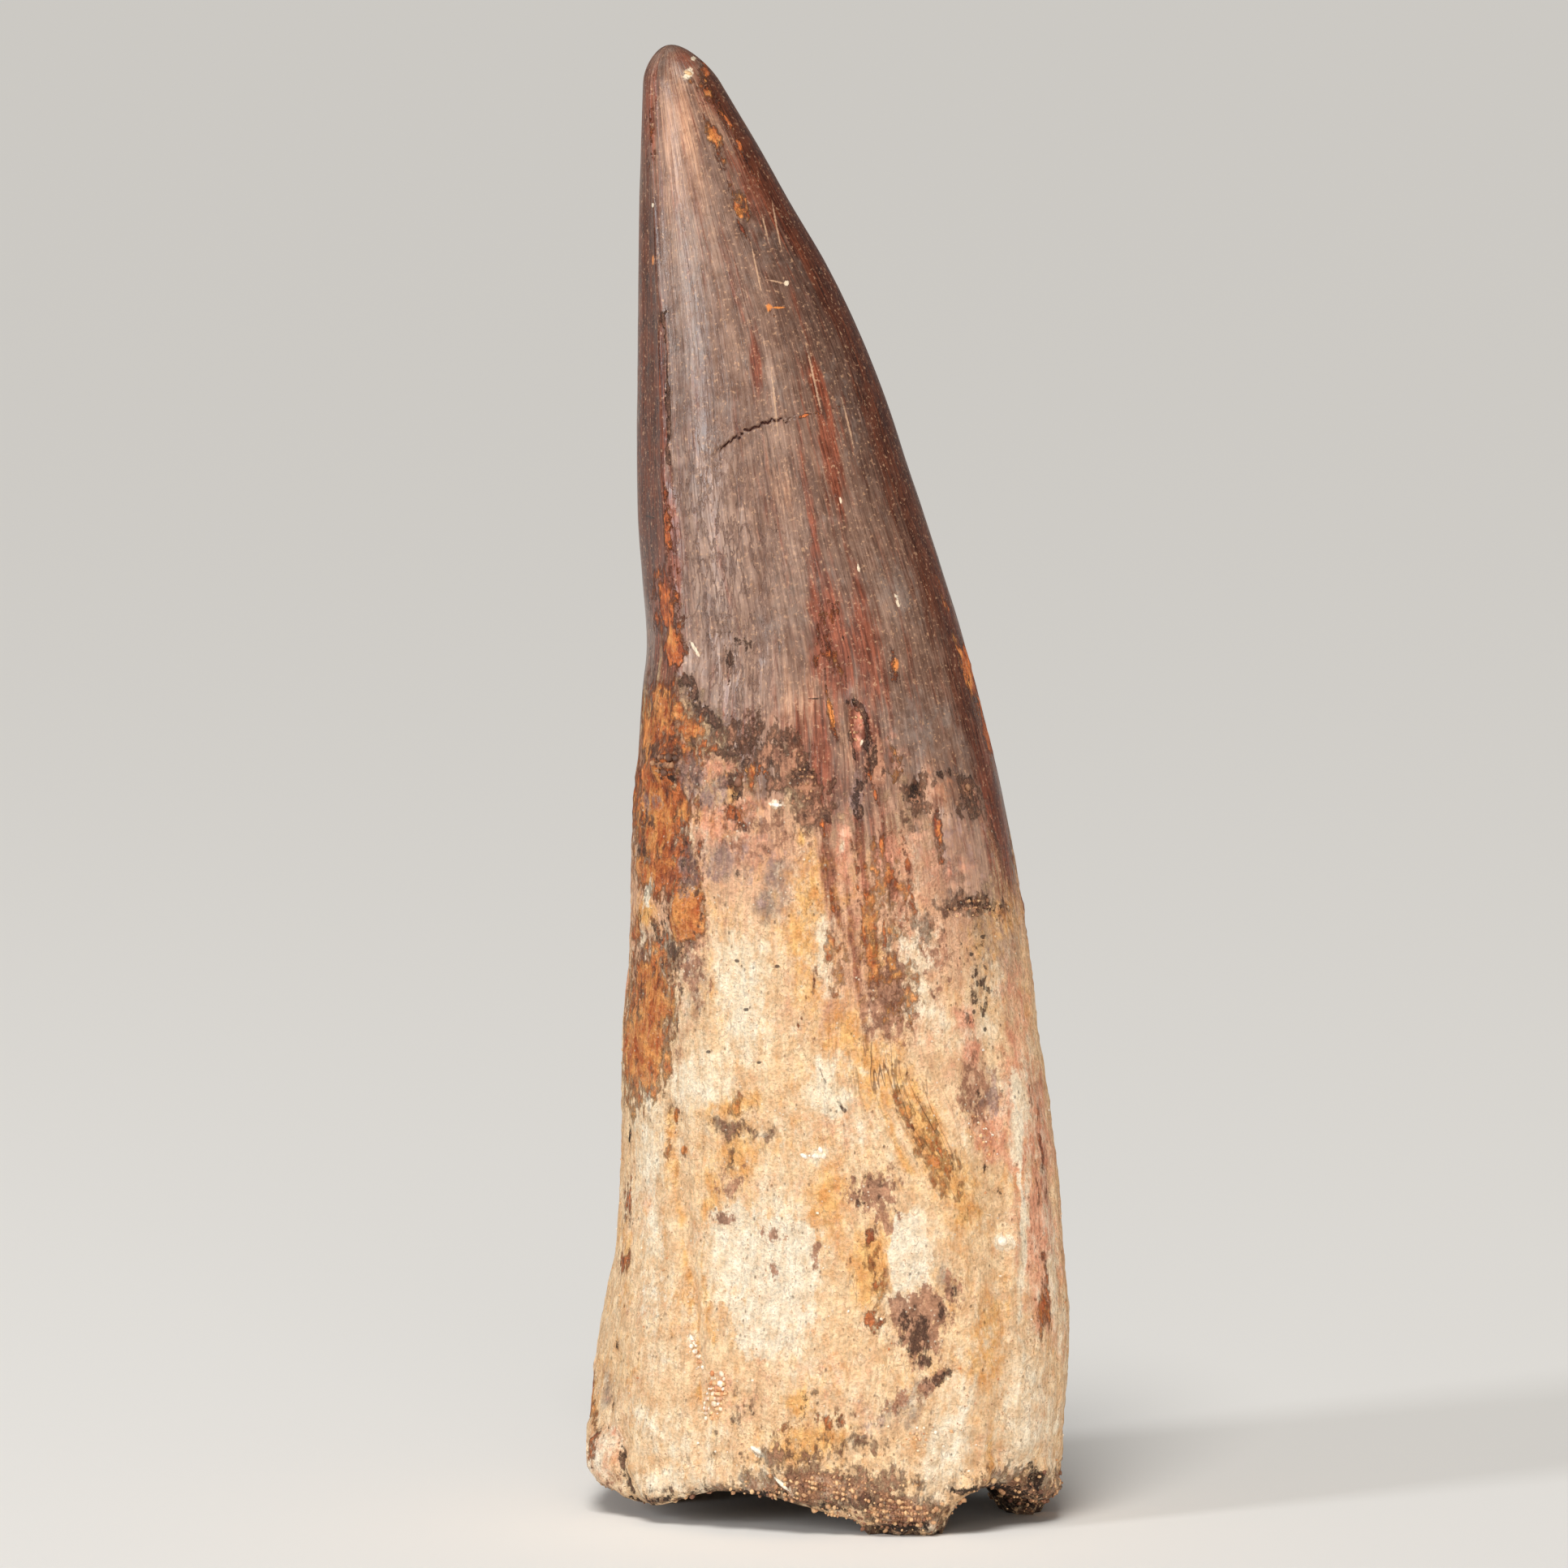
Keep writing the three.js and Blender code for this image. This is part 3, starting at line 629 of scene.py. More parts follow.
        "between the blue spots": (925, 1078, 34, 8, -14, 0.3),
        "long dent": (896, 815, 4, 18, 0, 0.52),
        "blotch right": (1158, 1612, 12, 20, -20, 0.5),
        "blotch heart": (1074, 1466, 21, 21, 30, 0.4),
        "furrow": (962, 646, 6, 14, -20, 0.6),
        "foot speckles": (800, 1285, 26, 50, 0, 0.27),
        "iron shadow one": (830, 1166, 12, 14, 0, 0.74),
        "iron shadow two": (808, 1190, 9, 12, 0, 0.74),
        "iron shadow three": (800, 1012, 13, 15, 0, 0.7),
        "iron shadow four": (846, 1040, 9, 12, 0, 0.66),
        "iron shadow five": (836, 905, 10, 12, 20, 0.7),
        "iron shadow six": (804, 925, 10, 9, 0, 0.66),
        "upper wedge": (1156, 1702, 7, 16, -56, 0.52),
        "granular specks": (960, 1762, 110, 40, 8, 0.27),
        "iron shadow seven": (790, 1048, 7, 9, 0, 0.64),
        "iron shadow eight": (826, 1024, 9, 8, 0, 0.56),
        "iron shadow nine": (822, 1262, 9, 12, 0, 0.56),
        "iron shadow ten": (784, 1240, 6, 12, 0, 0.5),
        "iron shadow eleven": (842, 880, 8, 12, 30, 0.5),
        "right of the oval": (1078, 944, 11, 26, 4, 0.44),
        "stain beside it": (938, 1396, 13, 5, 10, 0.3),
        "right stain one": (1216, 1443, 4, 9, 0, 0.5),
        "right stain two": (1232, 1471, 5, 9, -20, 0.44),
    },
    "white": {
        "fleck by the crust": (957, 991, 9, 5, 0, 1.2),
        "round grain": (1236, 1531, 9, 8, 0, 1.4),
        "cream spot": (1107, 744, 2.5, 5, 0, 1.2),
        "flake": (932, 1789, 4, 10, 62, 1.3),
        "chip": (965, 1829, 4, 13, 62, 1.3),
        "leaf": (851, 1655, 3.5, 12, 24, 1.1),
        "scratch on the iron": (799, 1096, 2.6, 20, -12, 1.3),
        "oval heart": (1060, 910, 2, 7, -6, 0.7),
    },
    "dark": {
        "rim heart": (1046, 1858, 56, 6, 0, 0.6),
        "rim middle": (925, 1841, 60, 3, 0, 0.7),
        # Painted shade: a dark line along the lowest edge of the left rim, where it meets the floor.
        "rim left": (845, 1847, 46, 3, 0, 0.7),
        "foot": (1114, 1884, 30, 7, 0, 1.0),
        # Painted shade: the hollow and the notch by the right foot are made near black, as shaded
        # insides.
        "right hollow": (1254, 1850, 28, 17, 0, 1.3),
        "right notch": (1278, 1822, 12, 18, 0, 0.95),
        "left of the notch": (1200, 1838, 26, 4, 0, 0.9),
        # Painted shade: dark below the crust lump and below the bubble, on the side away from the light.
        "painted shadow under the lump": (824, 960, 13, 3, 0, 0.9),
        "painted shadow under the bubble": (908, 980, 7, 4, 0, 0.8),
        "long dent": (895, 817, 3, 16, 0, 0.36),
        "black pit": (1127, 976, 4, 10, -20, 1.1),
        "pit trail": (1133, 1000, 2.5, 16, -10, 0.5),
        "arch left": (1173, 1120, 4, 3, 0, 0.85),
        "arch right": (1198, 1108, 4, 3.5, 0, 0.9),
        "arch foot": (1229, 1130, 3, 5, -30, 0.8),
        "left edge spot": (774, 1400, 3, 10, 0, 0.8),
        "left edge spot below": (767, 1551, 3, 7, 0, 0.7),
        "hair stain": (883, 1650, 7, 4, 30, 0.6),
        "moss heart": (812, 1156, 9, 7, 0, 0.5),
        "oval top": (1052, 866, 9, 5, 0, 0.6),
        "knob groove": (772, 1816, 2, 20, 8, 0.45),
        "patch border": (1041, 800, 2, 34, 12, 0.5),
        "wedge heart": (1160, 1698, 5, 11, -56, 0.35),
        "arch middle": (1185, 1113, 4, 3, 20, 0.8),
        "arch pit": (1208, 1117, 4.5, 3.5, 0, 0.85),
        "arch end": (1220, 1121, 3, 4, 0, 0.8),
        "under the arch": (1187, 1160, 4, 4, 0, 0.8),
        "under it": (1179, 1175, 3, 4, 0, 0.7),
    },
    "lilac": {
        "beside the lump": (852, 952, 15, 20, 30, 0.8),
        "blue patch": (872, 982, 18, 14, -20, 0.8),
        "round the bubble": (893, 966, 12, 16, 20, 0.8),
        "under the oval": (846, 1074, 12, 24, 0, 0.66),
        "middle spots": (900, 1052, 18, 12, 0, 0.56),
        "spots beside them": (880, 1066, 24, 20, 0, 0.46),
        "right spot": (957, 1074, 22, 22, 0, 0.46),
        "lower patch": (943, 1115, 13, 18, -20, 0.62),
        "left speckles": (852, 1198, 12, 30, 0, 0.6),
        "right smooth": (1190, 1052, 24, 44, 6, 0.5),
        "speckled right": (1216, 1200, 10, 40, 0, 0.5),
        "right patch": (1222, 1346, 9, 24, 4, 0.7),
        "above the iron": (800, 990, 8, 16, 0, 0.5),
        "tongue": (1057, 980, 8, 30, -2, 0.85),
        "crumbly field": (925, 1040, 56, 44, 0, 0.36),
        "smear": (1078, 1742, 22, 18, -20, 0.4),
        "lump": (1136, 1768, 9, 15, 10, 0.4),
    },
    # Where the crown's wrinkles get painted shade in their furrows.
    "shaded furrows": {
        "wrinkles": (900, 676, 56, 116, 2, 1.1),
        "low wrinkles": (905, 830, 46, 60, 0, 0.9),
        "right of the pale middle": (992, 640, 12, 80, 8, 0.6),
        "beside the carina": (846, 600, 20, 60, 0, 0.7),
    },
}

# Lines on the show side, in the photograph's pixels: the points on each, its half width and
# its strength.
STREAKS = {
    "tan": {
        "right line one": ([(884, 150), (912, 205), (934, 246)], 3, 1.1),
        "right line two": ([(893, 150), (925, 214), (950, 262)], 2.5, 0.9),
        "left edge shine": ([(790, 290), (790, 390)], 3, 1.1),
        "edge of the sheen": ([(941, 410), (950, 470), (953, 530)], 3, 0.9),
        "gleam two": ([(807, 590), (808, 690)], 1.6, 0.9),
    },
    "red": {
        "left of the carina": ([(808, 430), (812, 520), (815, 600)], 3.5, 1.1),
        "red line": ([(797, 500), (800, 560), (796, 620)], 3, 1.1),
        "patch border": ([(1032, 764), (1042, 800), (1050, 838)], 5, 1.1),
        "mauve line one": ([(1018, 1010), (1020, 1070), (1036, 1140)], 5, 1.2),
        "mauve line two": ([(1056, 1010), (1062, 1070), (1072, 1110)], 4, 1.1),
        "right line": ([(1083, 1035), (1096, 1060), (1104, 1110)], 5, 1.0),
        "salmon edge": ([(1278, 1330), (1290, 1450), (1296, 1560)], 5, 0.8),
    },
    "maroon": {
        # Painted shade along the crown's right edge, which turns away from the light.
        "right edge": ([(878, 100), (956, 240), (1042, 400), (1102, 560), (1152, 720), (1192, 850)],
                       15, 0.95),
    },
    "ochre": {
        "long groove": ([(826, 1375), (834, 1480), (841, 1545), (848, 1590), (858, 1670), (867, 1750)],
                        4, 0.72),
        "hollow edge": ([(870, 1480), (866, 1560), (880, 1660)], 5, 0.6),
        "yellow fibres": ([(1060, 1290), (1085, 1360), (1120, 1440)], 6, 0.8),
    },
    "rust": {
        "flank one": ([(872, 150), (884, 180), (893, 200)], 2.5, 0.8),
        "flank two": ([(893, 205), (900, 232), (906, 250)], 3, 0.6),
        "flank three": ([(908, 258), (916, 290)], 2, 0.6),
        "left of the carina": ([(818, 600), (824, 700), (827, 776)], 4, 0.5),
        "edge streak": ([(1186, 800), (1214, 880), (1221, 925)], 3, 1.1),
        "groove": ([(894, 994), (917, 1020)], 3.5, 1.1),
        "diagonal one": ([(1104, 1300), (1140, 1372), (1172, 1450)], 2.6, 0.4),
        "diagonal two": ([(1116, 1372), (1146, 1430), (1164, 1476)], 2.2, 0.4),
        "fine curve": ([(1010, 1180), (1000, 1220), (985, 1262)], 2, 0.5),
        "crack end": ([(986, 514), (1012, 508), (1040, 502)], 2, 0.55),
        "red line one": ([(1014, 1012), (1016, 1060), (1030, 1130)], 2.6, 0.62),
        "red line two": ([(1051, 1036), (1058, 1100), (1066, 1164)], 2.2, 0.56),
        "red line three": ([(1085, 1030), (1090, 1100), (1092, 1168)], 2.2, 0.56),
        "red line four": ([(1108, 994), (1116, 1060), (1126, 1136)], 2.2, 0.56),
        "red line five": ([(1070, 940), (1080, 984), (1091, 1028)], 2.2, 0.56),
        "painted highlight streak at the tip one": ([(872, 110), (892, 150), (908, 184)], 1.8, 0.62),
        "painted highlight streak at the tip two": ([(884, 124), (906, 170), (930, 226)], 1.6, 0.56),
        "painted highlight streak at the tip three": ([(862, 130), (878, 176), (890, 214)], 1.6, 0.56),
        "painted highlight streak at the tip four": ([(900, 150), (922, 200), (944, 252)], 1.6, 0.5),
        "salmon one": ([(1266, 1320), (1280, 1400), (1290, 1480)], 5, 0.3),
        "salmon two": ([(1276, 1430), (1284, 1520), (1290, 1600)], 4, 0.3),
    },
    "umber": {
        "boundary": ([(838, 832), (862, 862), (884, 896), (900, 910)], 6, 0.5),
        "diagonal one": ([(1112, 1310), (1150, 1380), (1178, 1448)], 4, 0.12),
        "line down": ([(912, 1395), (903, 1420), (895, 1447)], 2.5, 0.34),
        "flake rim": ([(829, 1105), (851, 1097), (867, 1110), (864, 1136), (852, 1158)], 2.5, 0.75),
        "groove edge": ([(893, 992), (904, 1008), (918, 1021)], 2.5, 1.0),
        "knob top": ([(726, 1768), (740, 1757), (752, 1757)], 2, 0.5),
        "knob groove": ([(752, 1764), (766, 1789), (770, 1821), (777, 1842)], 3, 0.46),
        "crust tail": ([(1010, 985), (1018, 1012)], 4, 0.6),
        "carina shade": ([(815, 380), (820, 480), (822, 570)], 3, 0.8),
        "column edge": ([(760, 1640), (752, 1700), (752, 1760)], 2, 0.3),
        "flake edge": ([(1004, 1310), (1020, 1335), (1044, 1372)], 2, 0.3),
        "short crack": ([(880, 778), (900, 784), (919, 789), (938, 798)], 4, 0.5),
        "oval ring": ([(1040, 874), (1050, 864), (1062, 872), (1068, 896), (1066, 922)], 3, 0.6),
        "rust oval top": ([(803, 1047), (812, 1041), (826, 1043), (835, 1050)], 3, 0.8),
        "oval side": ([(1044, 880), (1046, 905), (1053, 932)], 3, 0.5),
    },
    "dark": {
        "short crack": ([(880, 779), (900, 785), (919, 790), (937, 798)], 2, 0.52),
        "boundary": ([(842, 838), (868, 874), (896, 908)], 2, 0.42),
        "knob groove": ([(753, 1766), (766, 1792), (771, 1822), (780, 1843)], 1.6, 0.3),
        # Painted shade along the lowest edge of the left rim, where it meets the floor.
        "painted shade along the left rim": ([(766, 1848), (800, 1852), (840, 1846)], 2.5, 0.7),
        "wrinkle": ([(944, 660), (952, 640), (962, 652)], 2, 0.36),
    },
    "white": {
        "salmon gleam": ([(1250, 1330), (1256, 1420), (1264, 1560)], 2.2, 1.0),
    },
}

# Outlines of two flakes that have both a colour and a thickness, in the photograph's pixels.
IRON_PLATE = [
    (828, 1106), (851, 1098), (866, 1110), (863, 1133), (854, 1156), (842, 1148), (828, 1129),
]
WHITE_FLAKE = [
    (997, 1306), (1012, 1304), (1024, 1326), (1040, 1344), (1045, 1362), (1030, 1376), (1012, 1366),
    (1022, 1346), (1008, 1330),
]

# Outlined patches on the show side: corners in the photograph's pixels, softness of the edge
# and strength.
PATCHES = {
    "white": {
        "hollow": ([(872, 1492), (912, 1484), (1002, 1504), (1010, 1560), (1000, 1636), (962, 1676),
                    (908, 1674), (890, 1600)], 11, 0.66),
        "right of the band": ([(1102, 1490), (1128, 1500), (1150, 1540), (1140, 1584), (1104, 1592),
                               (1096, 1540)], 5, 0.95),
        "bright centre": ([(888, 1186), (926, 1180), (952, 1220), (944, 1290), (896, 1296)], 14, 0.52),
        "above the groove": ([(776, 1420), (822, 1410), (832, 1560), (824, 1690), (776, 1700)], 14, 0.2),
        "over the right foot": ([(1150, 1740), (1196, 1730), (1200, 1800), (1160, 1830)], 12, 0.5),
    },
    "rust": {
        "flake plate": (IRON_PLATE, 5, 0.95),
    },
    "cream": {
        "white flake": (WHITE_FLAKE, 5, 1.2),
    },
    "red": {
        "smooth patch": ([(992, 742), (1034, 738), (1048, 845), (1014, 850)], 9, 0.9),
    },
}

# ---- Relief with places of its own, on the show side ----

# Bumps and hollows, in the photograph's pixels as the ovals above, with heights in mm.
BUMPS = {
    "orange bulb": (829, 800, 9, 18, 3, 0.16),
    "crust lump": (819, 940, 15, 15, 0, 0.4),
    "bubble bed": (907, 969, 14, 18, 0, -0.22),
    "long dent": (895, 817, 4.5, 18, 0, -0.22),
    "black pit": (1127, 976, 6, 14, -20, -0.7),
    "pit trail": (1134, 1002, 4, 16, -10, -0.3),
    "oval bed": (1054, 893, 13, 34, -4, -0.4),
    "oval heart": (1060, 903, 5, 15, -6, 0.32),
    "oval top": (1052, 868, 8, 6, 0, -0.25),
    "ring bed": (1193, 968, 9, 9, 0, -0.35),
    "ring heart": (1193, 967, 4, 4, 0, 0.45),
    "grey tongue": (1058, 990, 7, 26, -2, 0.22),
    "right scar": (1218, 1405, 20, 26, 20, 0.22),
    "notch": (1278, 1820, 10, 16, 0, -0.8),
    "right hollow": (1254, 1852, 22, 13, 0, -1.4),
    "lilac lump": (1136, 1768, 9, 14, 10, 0.35),
    "hair stain": (883, 1650, 6, 4, 30, -0.3),
    "arch left": (1173, 1120, 6, 5, 0, -0.35),
    "arch middle": (1185, 1113, 5, 4, 0, -0.3),
    "arch right": (1198, 1108, 6, 5, 0, -0.4),
    "arch pit": (1208, 1117, 6, 5, 0, -0.35),
    "arch foot": (1226, 1126, 5, 7, -30, -0.35),
    "salmon ridge": (1258, 1450, 9, 150, -4, 0.2),
    "moss": (815, 1160, 16, 20, 0, -0.25),
    "rust oval": (815, 1048, 11, 15, -15, 0.25),
    "knob": (742, 1800, 24, 34, 0, 0.5),
}
# Cracks and grooves: points on each in the same pixels, half width in pixels, depth in mm.
CRACKS = {
    "boundary": ([(840, 835), (862, 866), (881, 893), (898, 910)], 6, 0.2),
    "short crack": ([(880, 779), (900, 785), (919, 790), (937, 798)], 4, 0.32),
    "wrinkle": ([(940, 668), (948, 650), (962, 654)], 4, 0.2),
    "arc over the bubble": ([(886, 931), (898, 924), (912, 923)], 4, 0.28),
    "groove": ([(894, 994), (906, 1006), (917, 1020)], 4, 0.35),
    "left line": ([(995, 861), (1016, 861)], 3, 0.15),
    "iron edge": ([(828, 1106), (851, 1096), (868, 1110)], 4, 0.28),
    "column groove": ([(830, 1380), (836, 1480), (841, 1542), (846, 1580)], 6, 0.34),
    "column groove below": ([(846, 1580), (856, 1660), (865, 1750)], 6, 0.22),
    "knob groove": ([(750, 1762), (765, 1789), (770, 1821), (778, 1846)], 6, 0.45),
    "knob top": ([(722, 1770), (740, 1757), (752, 1757)], 4.5, 0.25),
    "edge groove": ([(762, 1660), (754, 1700), (752, 1750)], 6, 0.25),
    "square top": ([(1146, 952), (1170, 950)], 3, 0.2),
    "square side": ([(1142, 958), (1140, 1000)], 4, 0.18),
    "carina": ([(812, 380), (818, 480), (822, 590)], 4, 0.16),
    "mauve line": ([(1018, 1020), (1020, 1070), (1036, 1138)], 5, 0.12),
    "mauve line two": ([(1056, 1010), (1062, 1070), (1070, 1120)], 4, 0.1),
    "right line": ([(1086, 960), (1092, 1040), (1104, 1120)], 4, 0.12),
}
# Flakes with a sharp edge: corners in the same pixels, and thickness in mm.
PLATES = {
    "iron plate": (IRON_PLATE, 0.3),
    "white flake": (WHITE_FLAKE, 0.22),
    "square patch": ([(1142, 956), (1172, 956), (1178, 1004), (1150, 1006)], 0.16),
    "right scar": ([(1186, 1300), (1232, 1300), (1234, 1372), (1190, 1374)], -0.14),
    "yellow plate": ([(788, 1100), (806, 1104), (806, 1146), (786, 1146)], 0.2),
    "cream field": ([(1098, 1500), (1140, 1506), (1160, 1570), (1150, 1600), (1104, 1590)], 0.12),
}

# ---- Noise, grain and relief of the fine mesh ----

# Noise by name: what heights are multiplied by, so that less than 1 draws it out along the
# tooth, size of its hills in mm, seed and octaves. The points of the wander and of the crack
# are scaled before, by the degrees and mm that their waves are apart.
NOISE = {
    "wander": (1, 1, 5, 3), "crack": (1, 1, 12, 3), "tongues": (0.05, 3.2, 8, 3),
    "rag across": (0.4, 1.2, 3, 2), "rag along": (0.4, 1.2, 4, 2),
    "striae": (0.05, 1.5, 21, 2), "strands": (0.09, 0.9, 22, 2), "weather": (0.4, 4.5, 23, 3),
    "pores": (0.6, 1.15, 24, 1), "wrinkles": (0.35, 1.3, 25, 2), "grit": (1, 1.1, 26, 2),
    "crust": (1, 1.5, 27, 2), "rim": (1, 3.4, 30, 2), "rim crumbs": (1, 1.3, 31, 3),
    "underside": (0, 3.4, 33, 3), "underside crumbs": (0, 1.1, 34, 3),
    "dirt": (1, 2.2, 61, 3), "pale sand": (1, 3, 62, 3),
}
WANDER_TURN = 40
WANDER_RISE = 14
# The grain lies on a round bar of this radius in mm, and wanders by this many degrees.
GRAIN_RADIUS = 16
GRAIN_WANDER = 1.6
FIBRE_SLANT = {"bearing": 291, "height": 34.5, "half_angle": 14, "half_height": 9, "turn_a_mm": 1.5}

# Heights in mm of the relief that covers whole regions.
HEIGHTS = {
    "striae": 0.008, "worn striae": 0.022, "strands": 0.09, "worn strands": 0.012,
    "enamel weather": 0.06, "root weather": 0.2, "wrinkles": 0.07, "grit": 0.12, "crust": 0.2,
    "root pores": 0.12, "crust pores": 0.16, "rim crumbs": 0.3, "underside": 0.7,
    "underside crumbs": 0.22,
}
# Where the pores' noise starts to sink the surface, and where it does so in full.
PORE_EDGE = (0.42, 0.75)
# The oval of fine wrinkles on the crown, as the ovals above.
WRINKLED_OVAL = (900, 700, 80, 170)

# ---- How layers spread ----

# How far the outlines of marks wander, and how much the show side holds the rest back.
RAG_PIXELS = 4.5
HOLD_BACK = 0.25
# How far the enamel, the stain and the dirt of the rim take to fade out, in mm.
ENAMEL_FADE = 14
STAIN_FADE = 12
RIM_DIRT_TOP = 3.6
# Broad noise that each layer's field gets: size of its hills in mm, strength, what the back
# has more of it, and the seed of the first layer.
BROAD = {"streaks": 2.2, "mottle": 5.5}
BROAD_STRENGTH = {"streaks": 0.18, "mottle": 0.28}
BACK_BROAD = 0.24
BROAD_SEED = 40

# ---- Small crisp marks, drawn by the material ----

# Ovals in the photograph's pixels: x, y, half width, half height, lean.
CRISP_MARKS = {
    "chalk and gleams": {
        # Pale chips and flecks, and painted highlights: the gleams are painted glints, and the salmon
        # gleams are the highlight along the polished salmon ridge.
        "tip chip": (848, 91, 11, 7, 62),
        "tip fleck": (855, 72, 4, 4, 0),
        "left dot": (803, 253, 2, 4, 0),
        "scratch end": (970, 349, 4, 4, 20),
        "cream spot": (1107, 744, 3, 7, 14),
        "gleam one": (1036, 617, 2, 6, 10),
        "gleam two": (1058, 700, 2, 6, 10),
        "salmon gleam": (1254, 1404, 5, 52, 4),
        "salmon gleam below": (1262, 1520, 3, 56, 2),
        "salmon gleam above": (1251, 1336, 8, 28, 8),
        "iron scratch": (799, 1095, 3.4, 24, -14),
        "centre chip one": (990, 1423, 6, 3, 0),
        "centre chip two": (1012, 1421, 6, 4, 20),
        "bubble gleam": (905, 961, 3, 4, 0),
        "oval gleam": (1062, 915, 2, 6, -20),
        "scratch by the bulb": (855, 799, 2.6, 14, 30),
        "flake middle": (1014, 1333, 8, 18, -32),
        "flake foot": (1032, 1356, 12, 9, 20),
    },
    "flame": {
        "spot": (948, 379, 5, 6, 0),
        "spot line": (960, 379, 1.6, 10, 90),
        "left dot": (804, 320, 1.4, 9, 0),
        "right speck": (1104, 820, 5, 12, 0),
        "streak": (1025, 882, 4, 22, 10),
        "yellow edge": (794, 893, 4, 34, 0),
        "hollow spot": (831, 1377, 4, 12, 0),
        "hollow spot below": (842, 1417, 6, 8, 20),
        "flank": (876, 163, 4, 16, 20),
        "flank below": (912, 262, 5, 10, 20),
    },
    "hair": {
        "long scratch": (958, 278, 1.5, 44, 11),
        "beside it": (944, 282, 1.5, 30, 14),
        "short scratch": (957, 347, 1.5, 14, 78),
        "pale thread": (955, 500, 1.6, 60, 6),
        "pale thread two": (1004, 470, 1.6, 50, 13),
        "pale thread three": (932, 330, 1.5, 40, 12),
        "pale thread four": (1045, 520, 1.6, 40, 14),
    },
    "ink": {
        "left line": (1005, 861, 1.3, 12, 90),
        "speck one": (907, 1184, 4, 3, 0),
        "speck two": (957, 1191, 4, 3, 0),
        "speck three": (919, 1244, 4, 3, 0),
        "speck four": (873, 1296, 4, 3, 0),
        "speck five": (1212, 1154, 4, 4, 0),
        "speck six": (1198, 1176, 4, 4, 0),
        "speck seven": (1205, 1212, 3, 6, 0),
        "speck eight": (1201, 1247, 3, 4, 0),
        "speck nine": (1214, 1268, 3, 4, 0),
        "speck ten": (935, 1309, 4, 2.5, 0),
        "carina notch": (800, 637, 1.6, 10, 74),
    },
}
CRISP_TINTS = {
    "hair": (196, 158, 128), "chalk and gleams": (252, 234, 204), "flame": (232, 142, 70), "ink": (44, 28, 22),
}
# How much grit roughs up their fields, where these start and are full, and how much they hide.
CRISP_RAG = 1.4
CRISP_EDGE = (0.1, 0.5)
CRISP_HIDES = 0.85
# Far deeper than the pixels' plane, so that their third number doesn't count.
CRISP_DEPTH = 1000

# ---- What the material adds all over ----

# The deep and the light tint of bare enamel and bare dentine, and how far below and above its
# mean the pattern reaches them.
ENAMEL_TINTS = ((108, 78, 64), (130, 101, 85), 0.1)
DENTINE_TINTS = ((230, 186, 140), (247, 215, 172), 0.12)
LAYER_TINT_REACH = 0.14
CRACK_TINT = (66, 28, 20)
# Each pattern's share of its second noise. The layers' outlines: sizes in mm of the noise
# that makes them ragged, its detail, roughness and strength, and its shift between layers.
PATTERN_BLENDS = {"streaks": 0.35, "mottle": 0.4}
RAG_SIZES = {"streaks": 0.7, "mottle": 0.8}
RAG_DETAIL = 6
RAG_ROUGHNESS = 0.68
RAG_STRENGTH = 4
LAYER_SHIFT = 7.3
ENAMEL_ROUGHNESS = 0.31
DENTINE_ROUGHNESS = 0.8
CRUST_DULLS = 0.7

# Stretches of the grain's space and of the object's, so that patterns run long or lie flat.
LONG_GRAIN = (1, 1, 0.07)
FIBRE_GRAIN = (1, 1, 0.14)
SQUAT = (1, 1, 0.6)
WRINKLED = (1, 1, 0.32)
# The material's noise: size of its hills in mm, detail and roughness.
FINE_NOISE = {
    "striae": (0.25, 3, 0.5), "hair": (0.8, 2, 0.4), "fibres": (0.42, 4, 0.6), "mottle": (1.3, 6, 0.62),
    "grit": (0.3, 4, 0.6), "threads": (1.2, 3, 0.5), "shaded furrows": (0.8, 4, 0.6), "creases": (1.9, 4, 0.6),
}
# Light and dark near 1 that patterns add: how far from their mean, the darkest and lightest.
SHADING = {
    "mottle": (0.14, 0.93, 1.05), "dentine grit": (0.18, 0.8, 1.14), "enamel grit": (0.18, 0.9, 1.08),
    "striae": (0.14, 0.91, 1.07), "clearness of striae": (0.1, 0.35, 1),
}
HAIR_SHADE = 0.72
HAIR_EDGE = 0.022
# Heights of the finest relief, in mm.
FINE_HEIGHTS = {
    "striae": 0.012, "hair": 0.014, "fibres": 0.16, "grit": 0.42, "crust grit": 0.3, "crust lumps": 0.8,
}
# Weathering, painted shade in creases and furrows, and painted glints on enamel, in painting
# order. Its edge says how near its lines or specks it starts to show and how near it is full.
# Specks are a spacing apart, in patches of a size, and those on enamel are as strong as "on
# enamel" says. Heights and sizes are in mm.
WEATHER_AND_PAINTED_SHADE = {
    "threads": {"tint": (104, 66, 42), "hides": 0.6, "height": 0, "edge": (0.024, 0.006)},
    # Furrows are dark lines in the crown's wrinkles with real depth; their dark is painted shade in the
    # furrows.
    "shaded furrows": {"tint": (96, 66, 56), "hides": 0.62, "height": -0.07, "edge": (0.045, 0.008)},
    # Creases are dark lines with a little real depth; their dark is painted shade in the crevices.
    "creases": {"tint": (140, 88, 58), "hides": 0.26, "height": -0.06, "edge": (0.018, 0.004),
                "on enamel": 0.15},
    # Pale crumbs on dentine; on enamel the same specks, weaker, are painted glints.
    "crumbs": {"tint": (255, 240, 214), "hides": 0.6, "height": 0.08, "edge": (0.2, 0.1),
               "on enamel": 0.08, "spacing": 0.62, "patch size": 2.3, "patch edge": (0.5, 0.6)},
    "pores": {"tint": (104, 64, 42), "hides": 0.5, "height": -0.16, "edge": (0.24, 0.08),
              "on enamel": 0.05, "spacing": 0.5, "patch size": 1.7, "patch edge": (0.48, 0.6)},
}

# ---- Sand grains ----

